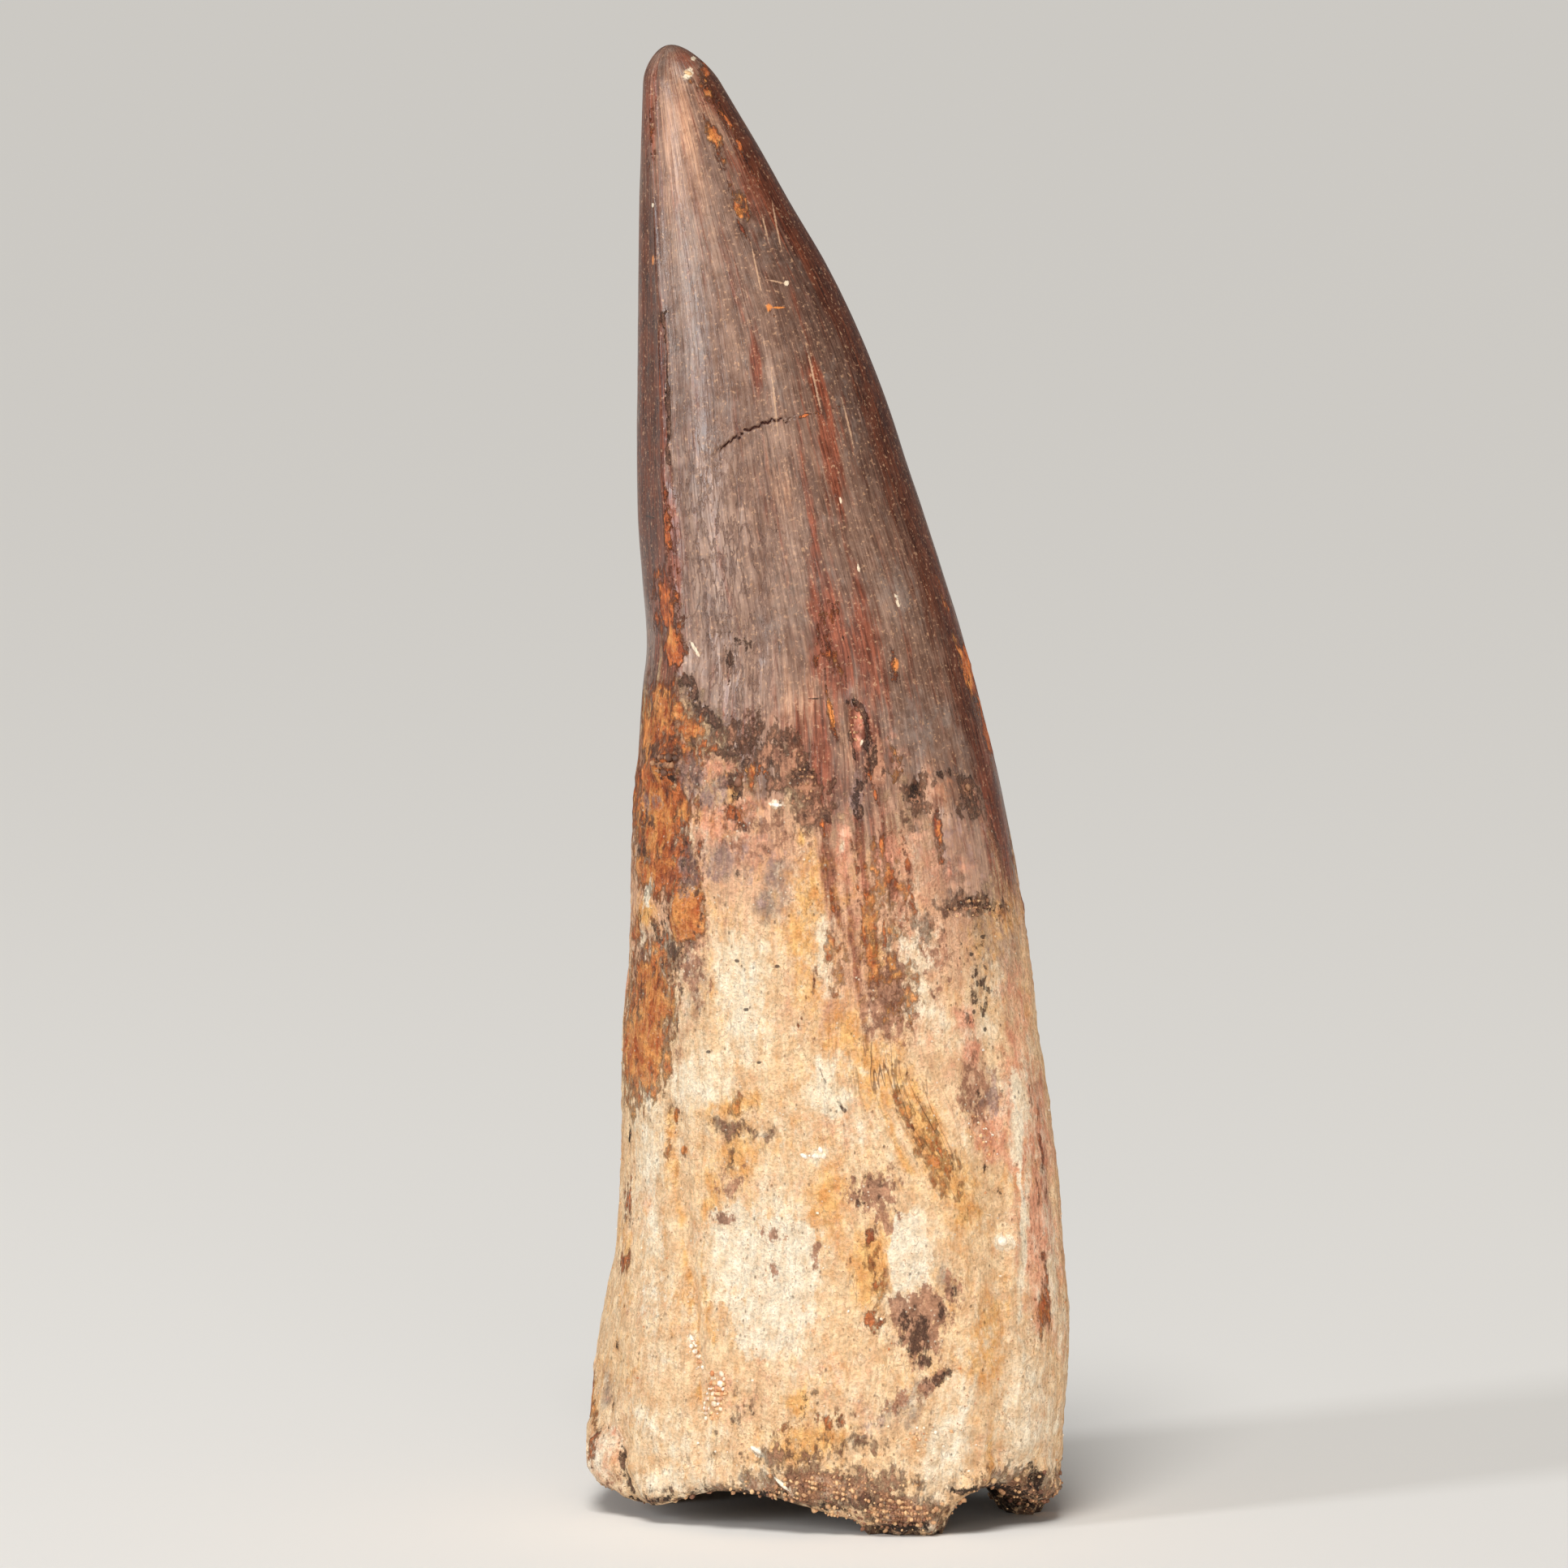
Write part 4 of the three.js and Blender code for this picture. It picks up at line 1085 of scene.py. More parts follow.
GRAIN_SEED = 7
GRAIN_CLEARANCE = 0.35
# How deep a grain sits, in its smallest half size, the least and most of each half size in
# radii, and how dented grains and pebbles are.
GRAIN_SINK = 0.25
GRAIN_SHAPE = (0.65, 1.25)
GRAIN_DENTS = 0.16
PEBBLE_DENTS = 0.05
FAR = 1e6
# Grains that stick all round the broken end, and loose ones over the root.
RIM_GRAINS = {"count": 900, "top": 6, "radii": (0.09, 0.3), "tones": (0.06, 0.66)}
LOOSE_GRAINS = {"count": 300, "top": 62, "radii": (0.06, 0.16), "tones": (0.4, 1.0)}
# The part of the rim on the show side that has next to no grains, as an oval.
CLEAN_RIM = (800, 1830, 56, 30, 0)
# Clusters on the show side: the oval that they lie in, in pixels as above, how many grains,
# the smallest and largest radius in mm, and the range of tones.
GRAIN_CLUSTERS = {
    "left cluster": ((880, 1718, 15, 34, -8), 110, (0.1, 0.3), (0.5, 1.0)),
    "above it": ((856, 1668, 5, 24, 20), 30, (0.1, 0.26), (0.6, 1.0)),
    "centre chips": ((1003, 1424, 26, 6, 8), 16, (0.12, 0.3), (0.8, 1.0)),
    "front foot": ((1108, 1866, 44, 24, 0), 200, (0.08, 0.25), (0.06, 0.56)),
    "front rim": ((1010, 1832, 100, 20, 0), 260, (0.07, 0.23), (0.06, 0.6)),
    "lilac": ((1136, 1770, 30, 24, 0), 24, (0.09, 0.2), (0.5, 1.0)),
    "right shoulder": ((1210, 1400, 22, 40, 10), 26, (0.08, 0.18), (0.5, 1.0)),
    "crust lump": ((819, 940, 15, 15, 0), 90, (0.12, 0.34), (0.0, 0.3)),
    "dark crust": ((990, 960, 22, 34, 24), 40, (0.08, 0.2), (0.06, 0.4)),
    "arch": ((1200, 1119, 34, 15, 4), 40, (0.08, 0.19), (0.06, 0.6)),
    "oval": ((1054, 893, 11, 30, -4), 16, (0.08, 0.18), (0.1, 0.5)),
    "fleck": ((957, 992, 9, 5, 0), 10, (0.1, 0.22), (0.9, 1.0)),
}
# Single pebbles and shards on the show side: x, y and lean as above, half width, half
# height and thickness in mm, and tone.
PEBBLES = {
    "bubble": (907, 966, 0, 0.4, 0.52, 0.34, 0.16),
    "round grain": (1236, 1531, 0, 0.5, 0.5, 0.42, 0.92),
    "flake": (931, 1789, 62, 0.22, 0.75, 0.16, 0.96),
    "chip": (965, 1829, 62, 0.2, 0.95, 0.18, 0.92),
    "leaf": (851, 1655, 22, 0.14, 0.7, 0.12, 0.94),
    "white speck": (957, 990, 80, 0.2, 0.42, 0.14, 1.0),
    "left chip": (990, 1423, 60, 0.2, 0.42, 0.14, 0.97),
    "right chip": (1012, 1421, 20, 0.2, 0.32, 0.14, 1.0),
    "orange chip": (848, 92, 62, 0.22, 0.4, 0.06, 0.62),
    "ring heart": (1193, 967, 0, 0.3, 0.34, 0.2, 0.24),
}
GRAIN_TINTS = {
    0.0: (84, 56, 42), 0.16: (132, 88, 64), 0.34: (196, 146, 104), 0.6: (236, 196, 146),
    0.74: (204, 128, 78), 0.86: (248, 228, 200), 1.0: (255, 246, 232),
}

# ---- Studio ----

FLOOR_HALF_SIDE = 60000
CAMERA_SIGHT_METRES = 200
FLOOR_TINT = (242, 240, 236)
WORLD_TINT = (240, 240, 240)
WORLD_STRENGTH = 0.18
# Angles of lamps are in degrees, with azimuth 0 at the camera and left negative. Distances
# and sides of lamps are in metres, and power is in watts.
OVERHEAD = {
    "azimuth": -14, "elevation": 60, "softness": 24, "strength": 1.9, "tint": (1, 0.98, 0.95),
}
LIGHT_TARGET_HEIGHT = 62
LIGHTS = {
    "key strip": {"azimuth": -56, "elevation": 13, "distance": 0.9, "width": 0.14, "height": 0.5,
                  "power": 4.6, "tint": (0.95, 0.97, 1)},
    "front fill": {"azimuth": 4, "elevation": 20, "distance": 1.3, "width": 0.7, "height": 0.6,
                   "power": 1.8, "tint": (1, 0.96, 0.9)},
    "low warm fill": {"azimuth": 40, "elevation": -5, "distance": 0.42, "width": 0.3, "height": 0.06,
                      "power": 0.85, "tint": (1, 0.9, 0.82)},
}


# ---- Small helpers ----

def smooth(value, start, end):
    """0 at start and before it, 1 at end and after it, and smooth between."""
    t = np.clip((value - start) / (end - start), 0, 1)
    return t * t * (3 - 2 * t)


def bell(distance, half_width):
    """A hill of height 1 that is down to about a third at one half width."""
    return np.exp(-np.square(distance / half_width))


def turn(from_bearing, to_bearing):
    """The signed turn from one bearing to another, between -180 and 180 degrees."""
    return np.mod(to_bearing - from_bearing + 180, 360) - 180


def through(points):
    """A smooth curve through (position, value) points, held level past both ends."""
    at, values = np.array(points, float).T
    slopes = np.gradient(values, at)
    slopes[1:-1] = (values[2:] - values[:-2]) / (at[2:] - at[:-2])

    def curve(position):
        position = np.clip(position, at[0], at[-1])
        after = np.clip(np.searchsorted(at, position), 1, len(at) - 1)
        before = after - 1
        span = at[after] - at[before]
        rise = values[after] - values[before]
        t = (position - at[before]) / span
        start_pull = slopes[before] * span - rise
        end_pull = slopes[after] * span - rise
        return values[before] + rise * t + t * (1 - t) * ((1 - t) * start_pull - t * end_pull)

    return curve


def round_the_tooth(points):
    """A smooth curve through (bearing, value) points that closes on itself."""
    before = [(bearing - 360, value) for bearing, value in points[-2:]]
    after = [(bearing + 360, value) for bearing, value in points[:2]]
    return through(before + list(points) + after)


# ---- Noise ----

HASH_PRIMES = np.array([73856093, 19349663, 83492791], np.uint64)


def lattice_directions(cells, seed):
    """A direction for each lattice cell, always the same for the same cell and seed."""
    mixed = cells.astype(np.uint64) * HASH_PRIMES
    value = mixed[:, 0] ^ mixed[:, 1] ^ mixed[:, 2] ^ np.uint64(seed * 2654435761 % 2**32)
    directions = np.empty(cells.shape)
    for axis in range(3):
        value = (value ^ (value >> np.uint64(15))) * np.uint64(2246822519)
        value = (value ^ (value >> np.uint64(13))) * np.uint64(3266489917)
        directions[:, axis] = (value >> np.uint64(20)) % np.uint64(4096) / 2047.5 - 1
    return directions


def lattice_noise(points, seed):
    """Smooth noise between about -1 and 1, with hills about one unit apart."""
    cells = np.floor(points).astype(np.int64)
    inside = points - cells
    fade = inside ** 3 * (inside * (inside * 6 - 15) + 10)
    total = np.zeros(len(points))
    for corner in itertools.product((0, 1), repeat=3):
        offset = np.array(corner)
        weight = np.prod(np.where(offset, fade, 1 - fade), axis=1)
        directions = lattice_directions(cells + offset, seed)
        total += weight * np.einsum("ij,ij->i", directions, inside - offset)
    return 1.5 * total


def rough_noise(points, size, seed, octaves=3):
    """Noise with finer and finer hills on it, the broadest about `size` apart."""
    total = np.zeros(len(points))
    strength = 1.0
    for octave in range(octaves):
        total += strength * lattice_noise(points / size * 2.03 ** octave, seed + 31 * octave)
        strength *= 0.5
    return total


def noise(name, points):
    drawn_out, size, seed, octaves = NOISE[name]
    return rough_noise(points * [1, 1, drawn_out], size, seed, octaves)


# ---- Section, rim and underside, as in the CAD model ----

left_edge = through(LEFT_EDGE)
right_edge = through(RIGHT_EDGE)
depth_share = through(DEPTH_SHARE)
squareness = through(SQUARENESS)
skew = through(SKEW)
rim_height = round_the_tooth(RIM_HEIGHT)


def tip_cap(z):
    """The share of the full section that the rounded, worn tip has left at a height."""
    below = np.clip((TOOTH_HEIGHT - z) / TIP_CAP_HEIGHT, 0, 1)
    return np.sqrt(1 - (1 - below) ** 2)


def on_section(bearing, z, outward):
    """Points of the plain section, pushed out along its normal, as an (n, 3) array."""
    left = left_edge(z)
    right = right_edge(z)
    half_width = (right - left) / 2 * tip_cap(z)
    half_depth = half_width * depth_share(z)
    power = squareness(z)
    cos = np.cos(np.radians(bearing))
    sin = np.sin(np.radians(bearing))
    reach = (np.abs(cos) ** power + np.abs(sin) ** power) ** (-1 / power)
    length = np.hypot(cos * half_depth, sin * half_width) + 1e-9
    from_middle = reach * half_width * cos + outward * cos * half_depth / length
    x = (left + right) / 2 + from_middle
    y = TIP_SET_BACK * (z / TOOTH_HEIGHT) ** 2 + reach * half_depth * sin
    y = y + outward * sin * half_width / length - skew(z) * from_middle
    return np.stack([x, y, z * np.ones_like(x)], axis=1)


def faded_band(z, start, end, fade):
    """1 between two heights, fading out around each of them."""
    over_start = smooth(z, start - fade / 2, start + fade / 2)
    return over_start * (1 - smooth(z, end - fade / 2, end + fade / 2))


def carinae(bearing, z):
    band = faded_band(z, CARINA["from"], CARINA["to"], CARINA["fade"])
    mesial = bell(turn(MESIAL_CARINA_BEARING, bearing), CARINA["half_width"])
    distal = bell(turn(DISTAL_CARINA_BEARING, bearing), CARINA["half_width"])
    return CARINA["height"] * band * (mesial + distal)


def side_flat(bearing, z):
    across = bell(turn(SIDE_FLAT["bearing"], bearing), SIDE_FLAT["half_width"])
    band = faded_band(z, SIDE_FLAT["from"], SIDE_FLAT["to"], SIDE_FLAT["fade"])
    return SIDE_FLAT["height"] * across * band


def root_grooves(bearing, z):
    total = np.zeros_like(z)
    for path, height, half_width, start, end in ROOT_GROOVES.values():
        across = bell(turn(through(path)(z), bearing), half_width)
        total += height * across * faded_band(z, start, end, ROOT_GROOVE_FADE)
    return total


def lumps(bearing, z):
    total = np.zeros_like(z)
    for at_bearing, at_z, half_round, half_along, height in LUMPS.values():
        total += height * bell(turn(at_bearing, bearing), half_round) * bell(z - at_z, half_along)
    return total


def main_relief(bearing, z):
    return carinae(bearing, z) + side_flat(bearing, z) + root_grooves(bearing, z) + lumps(bearing, z)


# ---- Rows and columns of the fine mesh ----

crack_height = round_the_tooth(CRACK_NEUTRAL[:2] + CRACK + CRACK_NEUTRAL[2:])
enamel_line = round_the_tooth(ENAMEL_LINE)


def column_bearings():
    """The columns stand closer together on the show side, as they do in the CAD model."""
    even = np.arange(COLUMNS) * 360 / COLUMNS
    return even - COLUMN_PULL * np.sin(np.radians(even - SHOW_BEARING))


def level_heights():
    """Heights of the wall's rows if the rim were level, from the tip down."""
    angles = np.linspace(0, math.pi / 2, CAP_ROWS + 1)[1:]
    heights = list(TOOTH_HEIGHT - TIP_CAP_HEIGHT * (1 - np.cos(angles)))
    spacing = through(ROW_SPACING)
    while heights[-1] > LAST_ROW_HEIGHT:
        heights.append(heights[-1] - spacing(heights[-1]))
    return np.array(heights[:-1] + [0.0])


def wall_heights(bearing, level):
    """Rows rise with the rim near the bottom, and follow the crack where they pass it."""
    lift = np.clip(1 - level / RIM_REACH_UP, 0, 1) ** 2
    bend = (crack_height(bearing) - CRACK_LEVEL) * bell(level - CRACK_LEVEL, CRACK_BEND_REACH)
    return level + rim_height(bearing) * lift + bend


# ---- The photograph's pixels on the skin ----

def photo_pixels(points):
    """Where points in millimetres show in the photograph, as x and y in its pixels."""
    elevation = math.radians(CAMERA_ELEVATION)
    forward = np.array([0, math.cos(elevation), -math.sin(elevation)])
    upward = np.array([0, math.sin(elevation), math.cos(elevation)])
    from_camera = points - (CAMERA_AIM - CAMERA_DISTANCE * forward)
    scale = PIXELS_PER_MM * CAMERA_DISTANCE / (from_camera @ forward)
    x = PHOTO_SIDE / 2 + from_camera[:, 0] * scale
    y = PHOTO_SIDE / 2 - (from_camera @ upward) * scale
    return np.stack([x, y], axis=1)


def spot(pixels, x, y, half_width, half_height, lean=0, strength=1):
    """`strength` in the middle of an oval, half of it on the outline, 0 at twice the size.

    The lean is in degrees, and turns the oval's lower end to the right.
    """
    dx = pixels[:, 0] - x
    dy = pixels[:, 1] - y
    cos = math.cos(math.radians(lean))
    sin = math.sin(math.radians(lean))
    across = (dx * cos - dy * sin) / half_width
    along = (dx * sin + dy * cos) / half_height
    return strength * np.clip(1 - np.hypot(across, along) / 2, 0, 1)


def distance_to_path(pixels, path):
    nearest = np.full(len(pixels), np.inf)
    for start, end in itertools.pairwise(np.array(path, float)):
        step = end - start
        share = np.clip((pixels - start) @ step / (step @ step), 0, 1)
        gap = pixels - start - share[:, None] * step
        nearest = np.minimum(nearest, np.hypot(gap[:, 0], gap[:, 1]))
    return nearest


def streak(pixels, path, half_width, strength=1):
    """`strength` along a line, half of it at one half width and 0 at two."""
    return strength * np.clip(1 - distance_to_path(pixels, path) / half_width / 2, 0, 1)


def patch(pixels, outline, softness, strength=1):
    """`strength` inside an outline, half of it on the outline and 0 outside."""
    corners = np.array(outline, float)
    inside = np.zeros(len(pixels), bool)
    for (x0, y0), (x1, y1) in zip(corners, np.roll(corners, -1, axis=0)):
        crosses = (y0 > pixels[:, 1]) != (y1 > pixels[:, 1])
        with np.errstate(divide="ignore", invalid="ignore"):
            crossing = x0 + (pixels[:, 1] - y0) / (y1 - y0) * (x1 - x0)
        inside ^= crosses & (pixels[:, 0] < crossing)
    edge = distance_to_path(pixels, outline + outline[:1])
    return strength * np.clip(0.5 + np.where(inside, edge, -edge) / softness / 2, 0, 1)


# ---- Painting ----

def grain_points(bearing, z):
    """Places in the tooth's grain: lines of equal bearing run together towards the tip."""
    unrolled = np.stack([bearing / WANDER_TURN, z / WANDER_RISE, 0 * z], axis=1)
    wander = GRAIN_WANDER * noise("wander", unrolled)
    up = z - FIBRE_SLANT["height"]
    near = bell(turn(FIBRE_SLANT["bearing"], bearing), FIBRE_SLANT["half_angle"])
    near = near * bell(up, FIBRE_SLANT["half_height"])
    angle = np.radians(bearing + wander * tip_cap(z) + FIBRE_SLANT["turn_a_mm"] * up * near)
    return np.stack([GRAIN_RADIUS * np.cos(angle), GRAIN_RADIUS * np.sin(angle), z], axis=1)


def cloud(name, points):
    """The noise as clouds between about 0 and 1."""
    return 0.5 + 0.5 * noise(name, points)


def background(skin):
    """What each layer does all round the tooth, before the marks of the show side."""
    crown = smooth(skin.z - enamel_line(skin.bearing), -4, 4)
    root = 1 - crown
    change = bell(skin.z - enamel_line(skin.bearing) + 4, 9) * (1 - 0.5 * skin.shown)
    back = smooth(np.sin(np.radians(skin.bearing)), -0.1, 0.25)
    # Maroon grows towards the left and right edges: partly a real dark red-brown band, partly painted
    # shade where the sides turn away from the light.
    edge_stain_and_shade = smooth(np.abs(np.cos(np.radians(skin.bearing))), 0.8, 1)
    upper = smooth(skin.z, 96, 116)
    rim = (1 - smooth(skin.over_rim, 0.4, RIM_DIRT_TOP)) * (1 - 0.75 * skin.shown)
    iron = bell(skin.z - 56, 11) * bell(turn(125, skin.bearing), 45)
    stain = 0.5 + (skin.z - round_the_tooth(STAIN_LINE)(skin.bearing)) / STAIN_FADE
    return {
        "stain": np.clip(stain, 0, 1) * root,
        "tan": crown * (0.28 + 0.15 * upper),
        "purple": crown * (0.3 + 0.2 * back) * (1 - 0.6 * change),
        "grey": 0.3 * crown + 0.34 * change,
        "red": crown * (0.26 + 0.12 * upper) + 0.3 * change,
        "maroon": crown * (0.2 + 0.34 * edge_stain_and_shade),
        "pink": root * (0.24 + 0.1 * back),
        "mauve": root * 0.12 + 0.16 * change,
        "ochre": root * 0.32,
        "crust": 0.2 * change + 0.8 * rim,
        "cream": root * 0.34 * (1 - 0.5 * change),
        "rust": 0.28 * change + 0.6 * iron,
        "amber": 0.24 * change + 0.4 * iron,
        "lilac": 0.2 * change,
        "umber": 0.16 * change + 0.45 * rim + 0.24 * iron,
        "white": 0.04 * root,
        "threads": root * (0.3 + 0.15 * back),
        "shaded furrows": 0.12 * crown,
        "dark": 0.36 * rim ** 2 + 0.05 * change,
    }


def marks(name, pixels):
    """The layer's own marks on the show side."""
    total = np.zeros(len(pixels))
    for oval in SPOTS.get(name, {}).values():
        total = np.maximum(total, spot(pixels, *oval))
    for line in STREAKS.get(name, {}).values():
        total = np.maximum(total, streak(pixels, *line))
    for outline in PATCHES.get(name, {}).values():
        total = np.maximum(total, patch(pixels, *outline))
    return total


def painted_layers(skin):
    """Each layer's field: above one half it covers, and near one half it covers in spots."""
    fields = background(skin)
    long_grain = skin.grain * [1, 1, 0.09]
    for index, (name, field) in enumerate(fields.items()):
        pattern = LAYERS[name][2] if name in LAYERS else "streaks"
        field *= 1 - HOLD_BACK * skin.shown
        np.maximum(field, skin.shown * marks(name, skin.ragged), out=field)
        space = long_grain if pattern == "streaks" else skin.points
        broad = rough_noise(space, BROAD[pattern], BROAD_SEED + index)
        strength = BROAD_STRENGTH[pattern] + BACK_BROAD * (1 - skin.shown)
        field += strength * broad * smooth(field, 0, 0.3)
    tongues = ENAMEL_TONGUES * noise("tongues", skin.grain)
    above = skin.z - enamel_line(skin.bearing) + tongues
    fields["enamel"] = np.clip(0.5 + above / ENAMEL_FADE, 0, 1)
    return fields


# ---- Relief ----

def mark_relief(skin):
    """Bumps, hollows, plates and cracks with places of their own on the show side."""
    total = np.zeros(len(skin.z))
    for x, y, half_width, half_height, lean, height in BUMPS.values():
        field = spot(skin.seen, x, y, half_width, half_height, lean)
        total += height * bell(2 - 2 * field, 1)
    for path, half_width, depth in CRACKS.values():
        total -= depth * bell(distance_to_path(skin.ragged, path), half_width)
    for outline, height in PLATES.values():
        total += height * smooth(patch(skin.ragged, outline, 3), 0.2, 0.8)
    return total * skin.shown


def main_crack(skin):
    low = CRACK[0][0]
    high = CRACK[-1][0]
    along = smooth(skin.bearing, low - 2, low + 8) * (1 - smooth(skin.bearing, high - 12, high + 4))
    zero = np.zeros_like(skin.z)
    rag = CRACK_RAG * noise("crack", np.stack([skin.bearing / CRACK_RAG_SPAN, zero, zero], axis=1))
    offset = skin.z - crack_height(skin.bearing) + rag
    return along * bell(offset, CRACK_HALF_WIDTH * (0.6 + 0.6 * along))


def surface_relief(skin, fields):
    """Striae, fibres, weathering, crust and pits, which cover whole regions."""
    crown = smooth(fields["enamel"], 0.3, 0.7)
    root = 1 - crown
    worn = 1 - smooth(skin.z, 100, 118)
    crust = np.maximum(smooth(fields["umber"], 0.3, 0.6), smooth(fields["crust"], 0.4, 0.8))
    crust = np.maximum(crust, 0.7 * smooth(fields["rust"], 0.3, 0.7))
    grainy = np.maximum(crust, 1 - smooth(skin.over_rim, 1, 6))
    wrinkled = skin.shown * spot(skin.seen, *WRINKLED_OVAL)
    weather = HEIGHTS["enamel weather"] * crown + HEIGHTS["root weather"] * root
    striae = crown * (HEIGHTS["striae"] + HEIGHTS["worn striae"] * worn)
    strands = HEIGHTS["strands"] * root + HEIGHTS["worn strands"] * crown * worn
    pitted = HEIGHTS["root pores"] * root + HEIGHTS["crust pores"] * crust
    return (
        striae * noise("striae", skin.grain)
        + strands * noise("strands", skin.grain)
        + weather * noise("weather", skin.points)
        + HEIGHTS["wrinkles"] * wrinkled * noise("wrinkles", skin.points)
        + HEIGHTS["grit"] * root * noise("grit", skin.points)
        + HEIGHTS["crust"] * grainy * noise("crust", skin.points)
        - pitted * smooth(noise("pores", skin.points), *PORE_EDGE)
    ) * tip_cap(skin.z)


def rim_relief(skin):
    """Crust that makes the broken rim uneven, as in the CAD model, and turns its edge in."""
    strength = RIM_CRUST * (1 - smooth(skin.over_rim, 0, RIM_CRUST_TOP))
    tucked = RIM_TUCK * np.clip(1 - skin.over_rim / RIM_ROUND, 0, 1) ** 2
    crumbly = HEIGHTS["rim crumbs"] * (1 - smooth(skin.over_rim, 1.5, 5))
    uneven = strength * noise("rim", skin.points) + crumbly * noise("rim crumbs", skin.points)
    return uneven - tucked


# ---- The skin ----

def wall_skin():
    """The wall's points before its fine relief, with what is known about each of them."""
    bearing, level = np.meshgrid(column_bearings(), level_heights())
    bearing = np.mod(bearing.ravel(), 360)
    level = level.ravel()
    z = wall_heights(bearing, level)
    points = on_section(bearing, z, main_relief(bearing, z))
    seen = photo_pixels(points)
    rag = np.stack([noise("rag across", points), noise("rag along", points)], axis=1)
    return SimpleNamespace(
        bearing=bearing, z=z, points=points, seen=seen, ragged=seen + RAG_PIXELS * rag,
        over_rim=z - rim_height(bearing), grain=grain_points(bearing, z),
        shown=smooth(-np.sin(np.radians(bearing)), -0.06, 0.02),
    )


def underside_heights(points, share, rim):
    """The broken face rises into a shallow recess of hard sand, and comes down at each foot."""
    inside = 1 - share ** 4
    rough = HEIGHTS["underside"] * noise("underside", points)
    rough = rough + HEIGHTS["underside crumbs"] * noise("underside crumbs", points)
    ground = rim + (UNDERSIDE_CEILING + rough * inside - rim) * inside
    for foot in FEET.values():
        across = bell(points[:, 0] - foot["x"], foot["across"])
        ground = ground - foot["drop"] * across * bell(points[:, 1] - foot["y"], foot["along"])
    return np.maximum(ground, 0)


def underside_points(rim_points):
    """Rings of points from the rim to the middle of the underside, and the middle itself."""
    middle = np.array([(left_edge(0) + right_edge(0)) / 2, 0, 0])
    shares = 1 - np.linspace(0, 1, UNDERSIDE_RINGS + 2)[1:-1] ** 1.15
    share = np.repeat(np.append(shares, 0), len(rim_points))
    rims = np.tile(rim_points, (UNDERSIDE_RINGS + 1, 1))
    points = middle + (rims - middle) * share[:, None]
    points[:, 2] = underside_heights(points, share, rims[:, 2])
    return points[:-len(rim_points) + 1]


def skin_faces(columns, rings, top, bottom):
    """Quads between the rings, and a fan of triangles at each end."""
    start = np.arange(rings - 1)[:, None] * columns
    here = start + np.arange(columns)
    beside = start + (np.arange(columns) + 1) % columns
    quads = np.stack([here, here + columns, beside + columns, beside], axis=-1).reshape(-1, 4)
    column = np.arange(columns)
    following = (column + 1) % columns
    last = (rings - 1) * columns
    upper = np.stack([np.full(columns, top), column, following], axis=1)
    lower = np.stack([last + column, np.full(columns, bottom), last + following], axis=1)
    return quads.tolist() + upper.tolist() + lower.tolist()


def into_box(points):
    """No fine relief stands out of the CAD model's box."""
    low = np.array(CAD_BOX[0]) / MM
    high = np.array(CAD_BOX[1]) / MM
    return np.clip(points, low, high)


def mesh_object(name, points, faces):
    mesh = bpy.data.meshes.new(name)
    mesh.from_pydata((points * MM).tolist(), [], faces)
    mesh.shade_smooth()
    piece = bpy.data.objects.new(name, mesh)
    bpy.context.scene.collection.objects.link(piece)
    return piece


def set_attribute(piece, name, values):
    """Stores a number or a vector for each point of a piece."""
    kind, field = ("FLOAT", "value") if values.ndim == 1 else ("FLOAT_VECTOR", "vector")
    attribute = piece.data.attributes.new(name, kind, "POINT")
    attribute.data.foreach_set(field, values.astype(np.float32).ravel())


def tooth_skin():
    wall = wall_skin()
    fields = painted_layers(wall)
    fields["crack"] = main_crack(wall)
    outward = main_relief(wall.bearing, wall.z) + mark_relief(wall) + rim_relief(wall)
    outward = outward + surface_relief(wall, fields) - CRACK_DEPTH * fields["crack"]
    wall_points = on_section(wall.bearing, wall.z, outward)
    under = underside_points(wall_points[-COLUMNS:])
    crown_x = (left_edge(TOOTH_HEIGHT) + right_edge(TOOTH_HEIGHT)) / 2
    tip = np.array([[crown_x, TIP_SET_BACK, TOOTH_HEIGHT]])
    points = into_box(np.concatenate([wall_points, under, tip]))
    rings = (len(points) - 2) // COLUMNS
    faces = skin_faces(COLUMNS, rings, len(points) - 1, len(points) - 2)
    piece = mesh_object("tooth_skin", points, faces)

    # Dirt and pale sand on the underside.
    dirt = cloud("dirt", under)
    pale = cloud("pale sand", under)
    hidden = {"umber": 0.3 + 0.5 * dirt, "dark": 0.75 - 0.6 * dirt, "cream": 0.6 * pale}
    for name, field in fields.items():
        below = hidden.get(name, np.zeros(len(under)))
        set_attribute(piece, name, np.concatenate([field, below, field[:1]]))
    seen = np.concatenate([wall.seen, photo_pixels(under), wall.seen[:1]])
    shown = np.concatenate([wall.shown, np.zeros(len(under)), wall.shown[:1]])
    set_attribute(piece, "seen", np.column_stack([seen, shown]))
    set_attribute(piece, "grain", np.concatenate([wall.grain, under, wall.grain[:1]]))
    return piece


# ---- Material ----

def linear(red, green, blue):
    """A colour as it looks on a screen, 0 to 255, as the linear colour a shader takes."""
    def channel(value):
        share = value / 255
        return share / 12.92 if share <= 0.04045 else ((share + 0.055) / 1.055) ** 2.4
    return (channel(red), channel(green), channel(blue), 1)


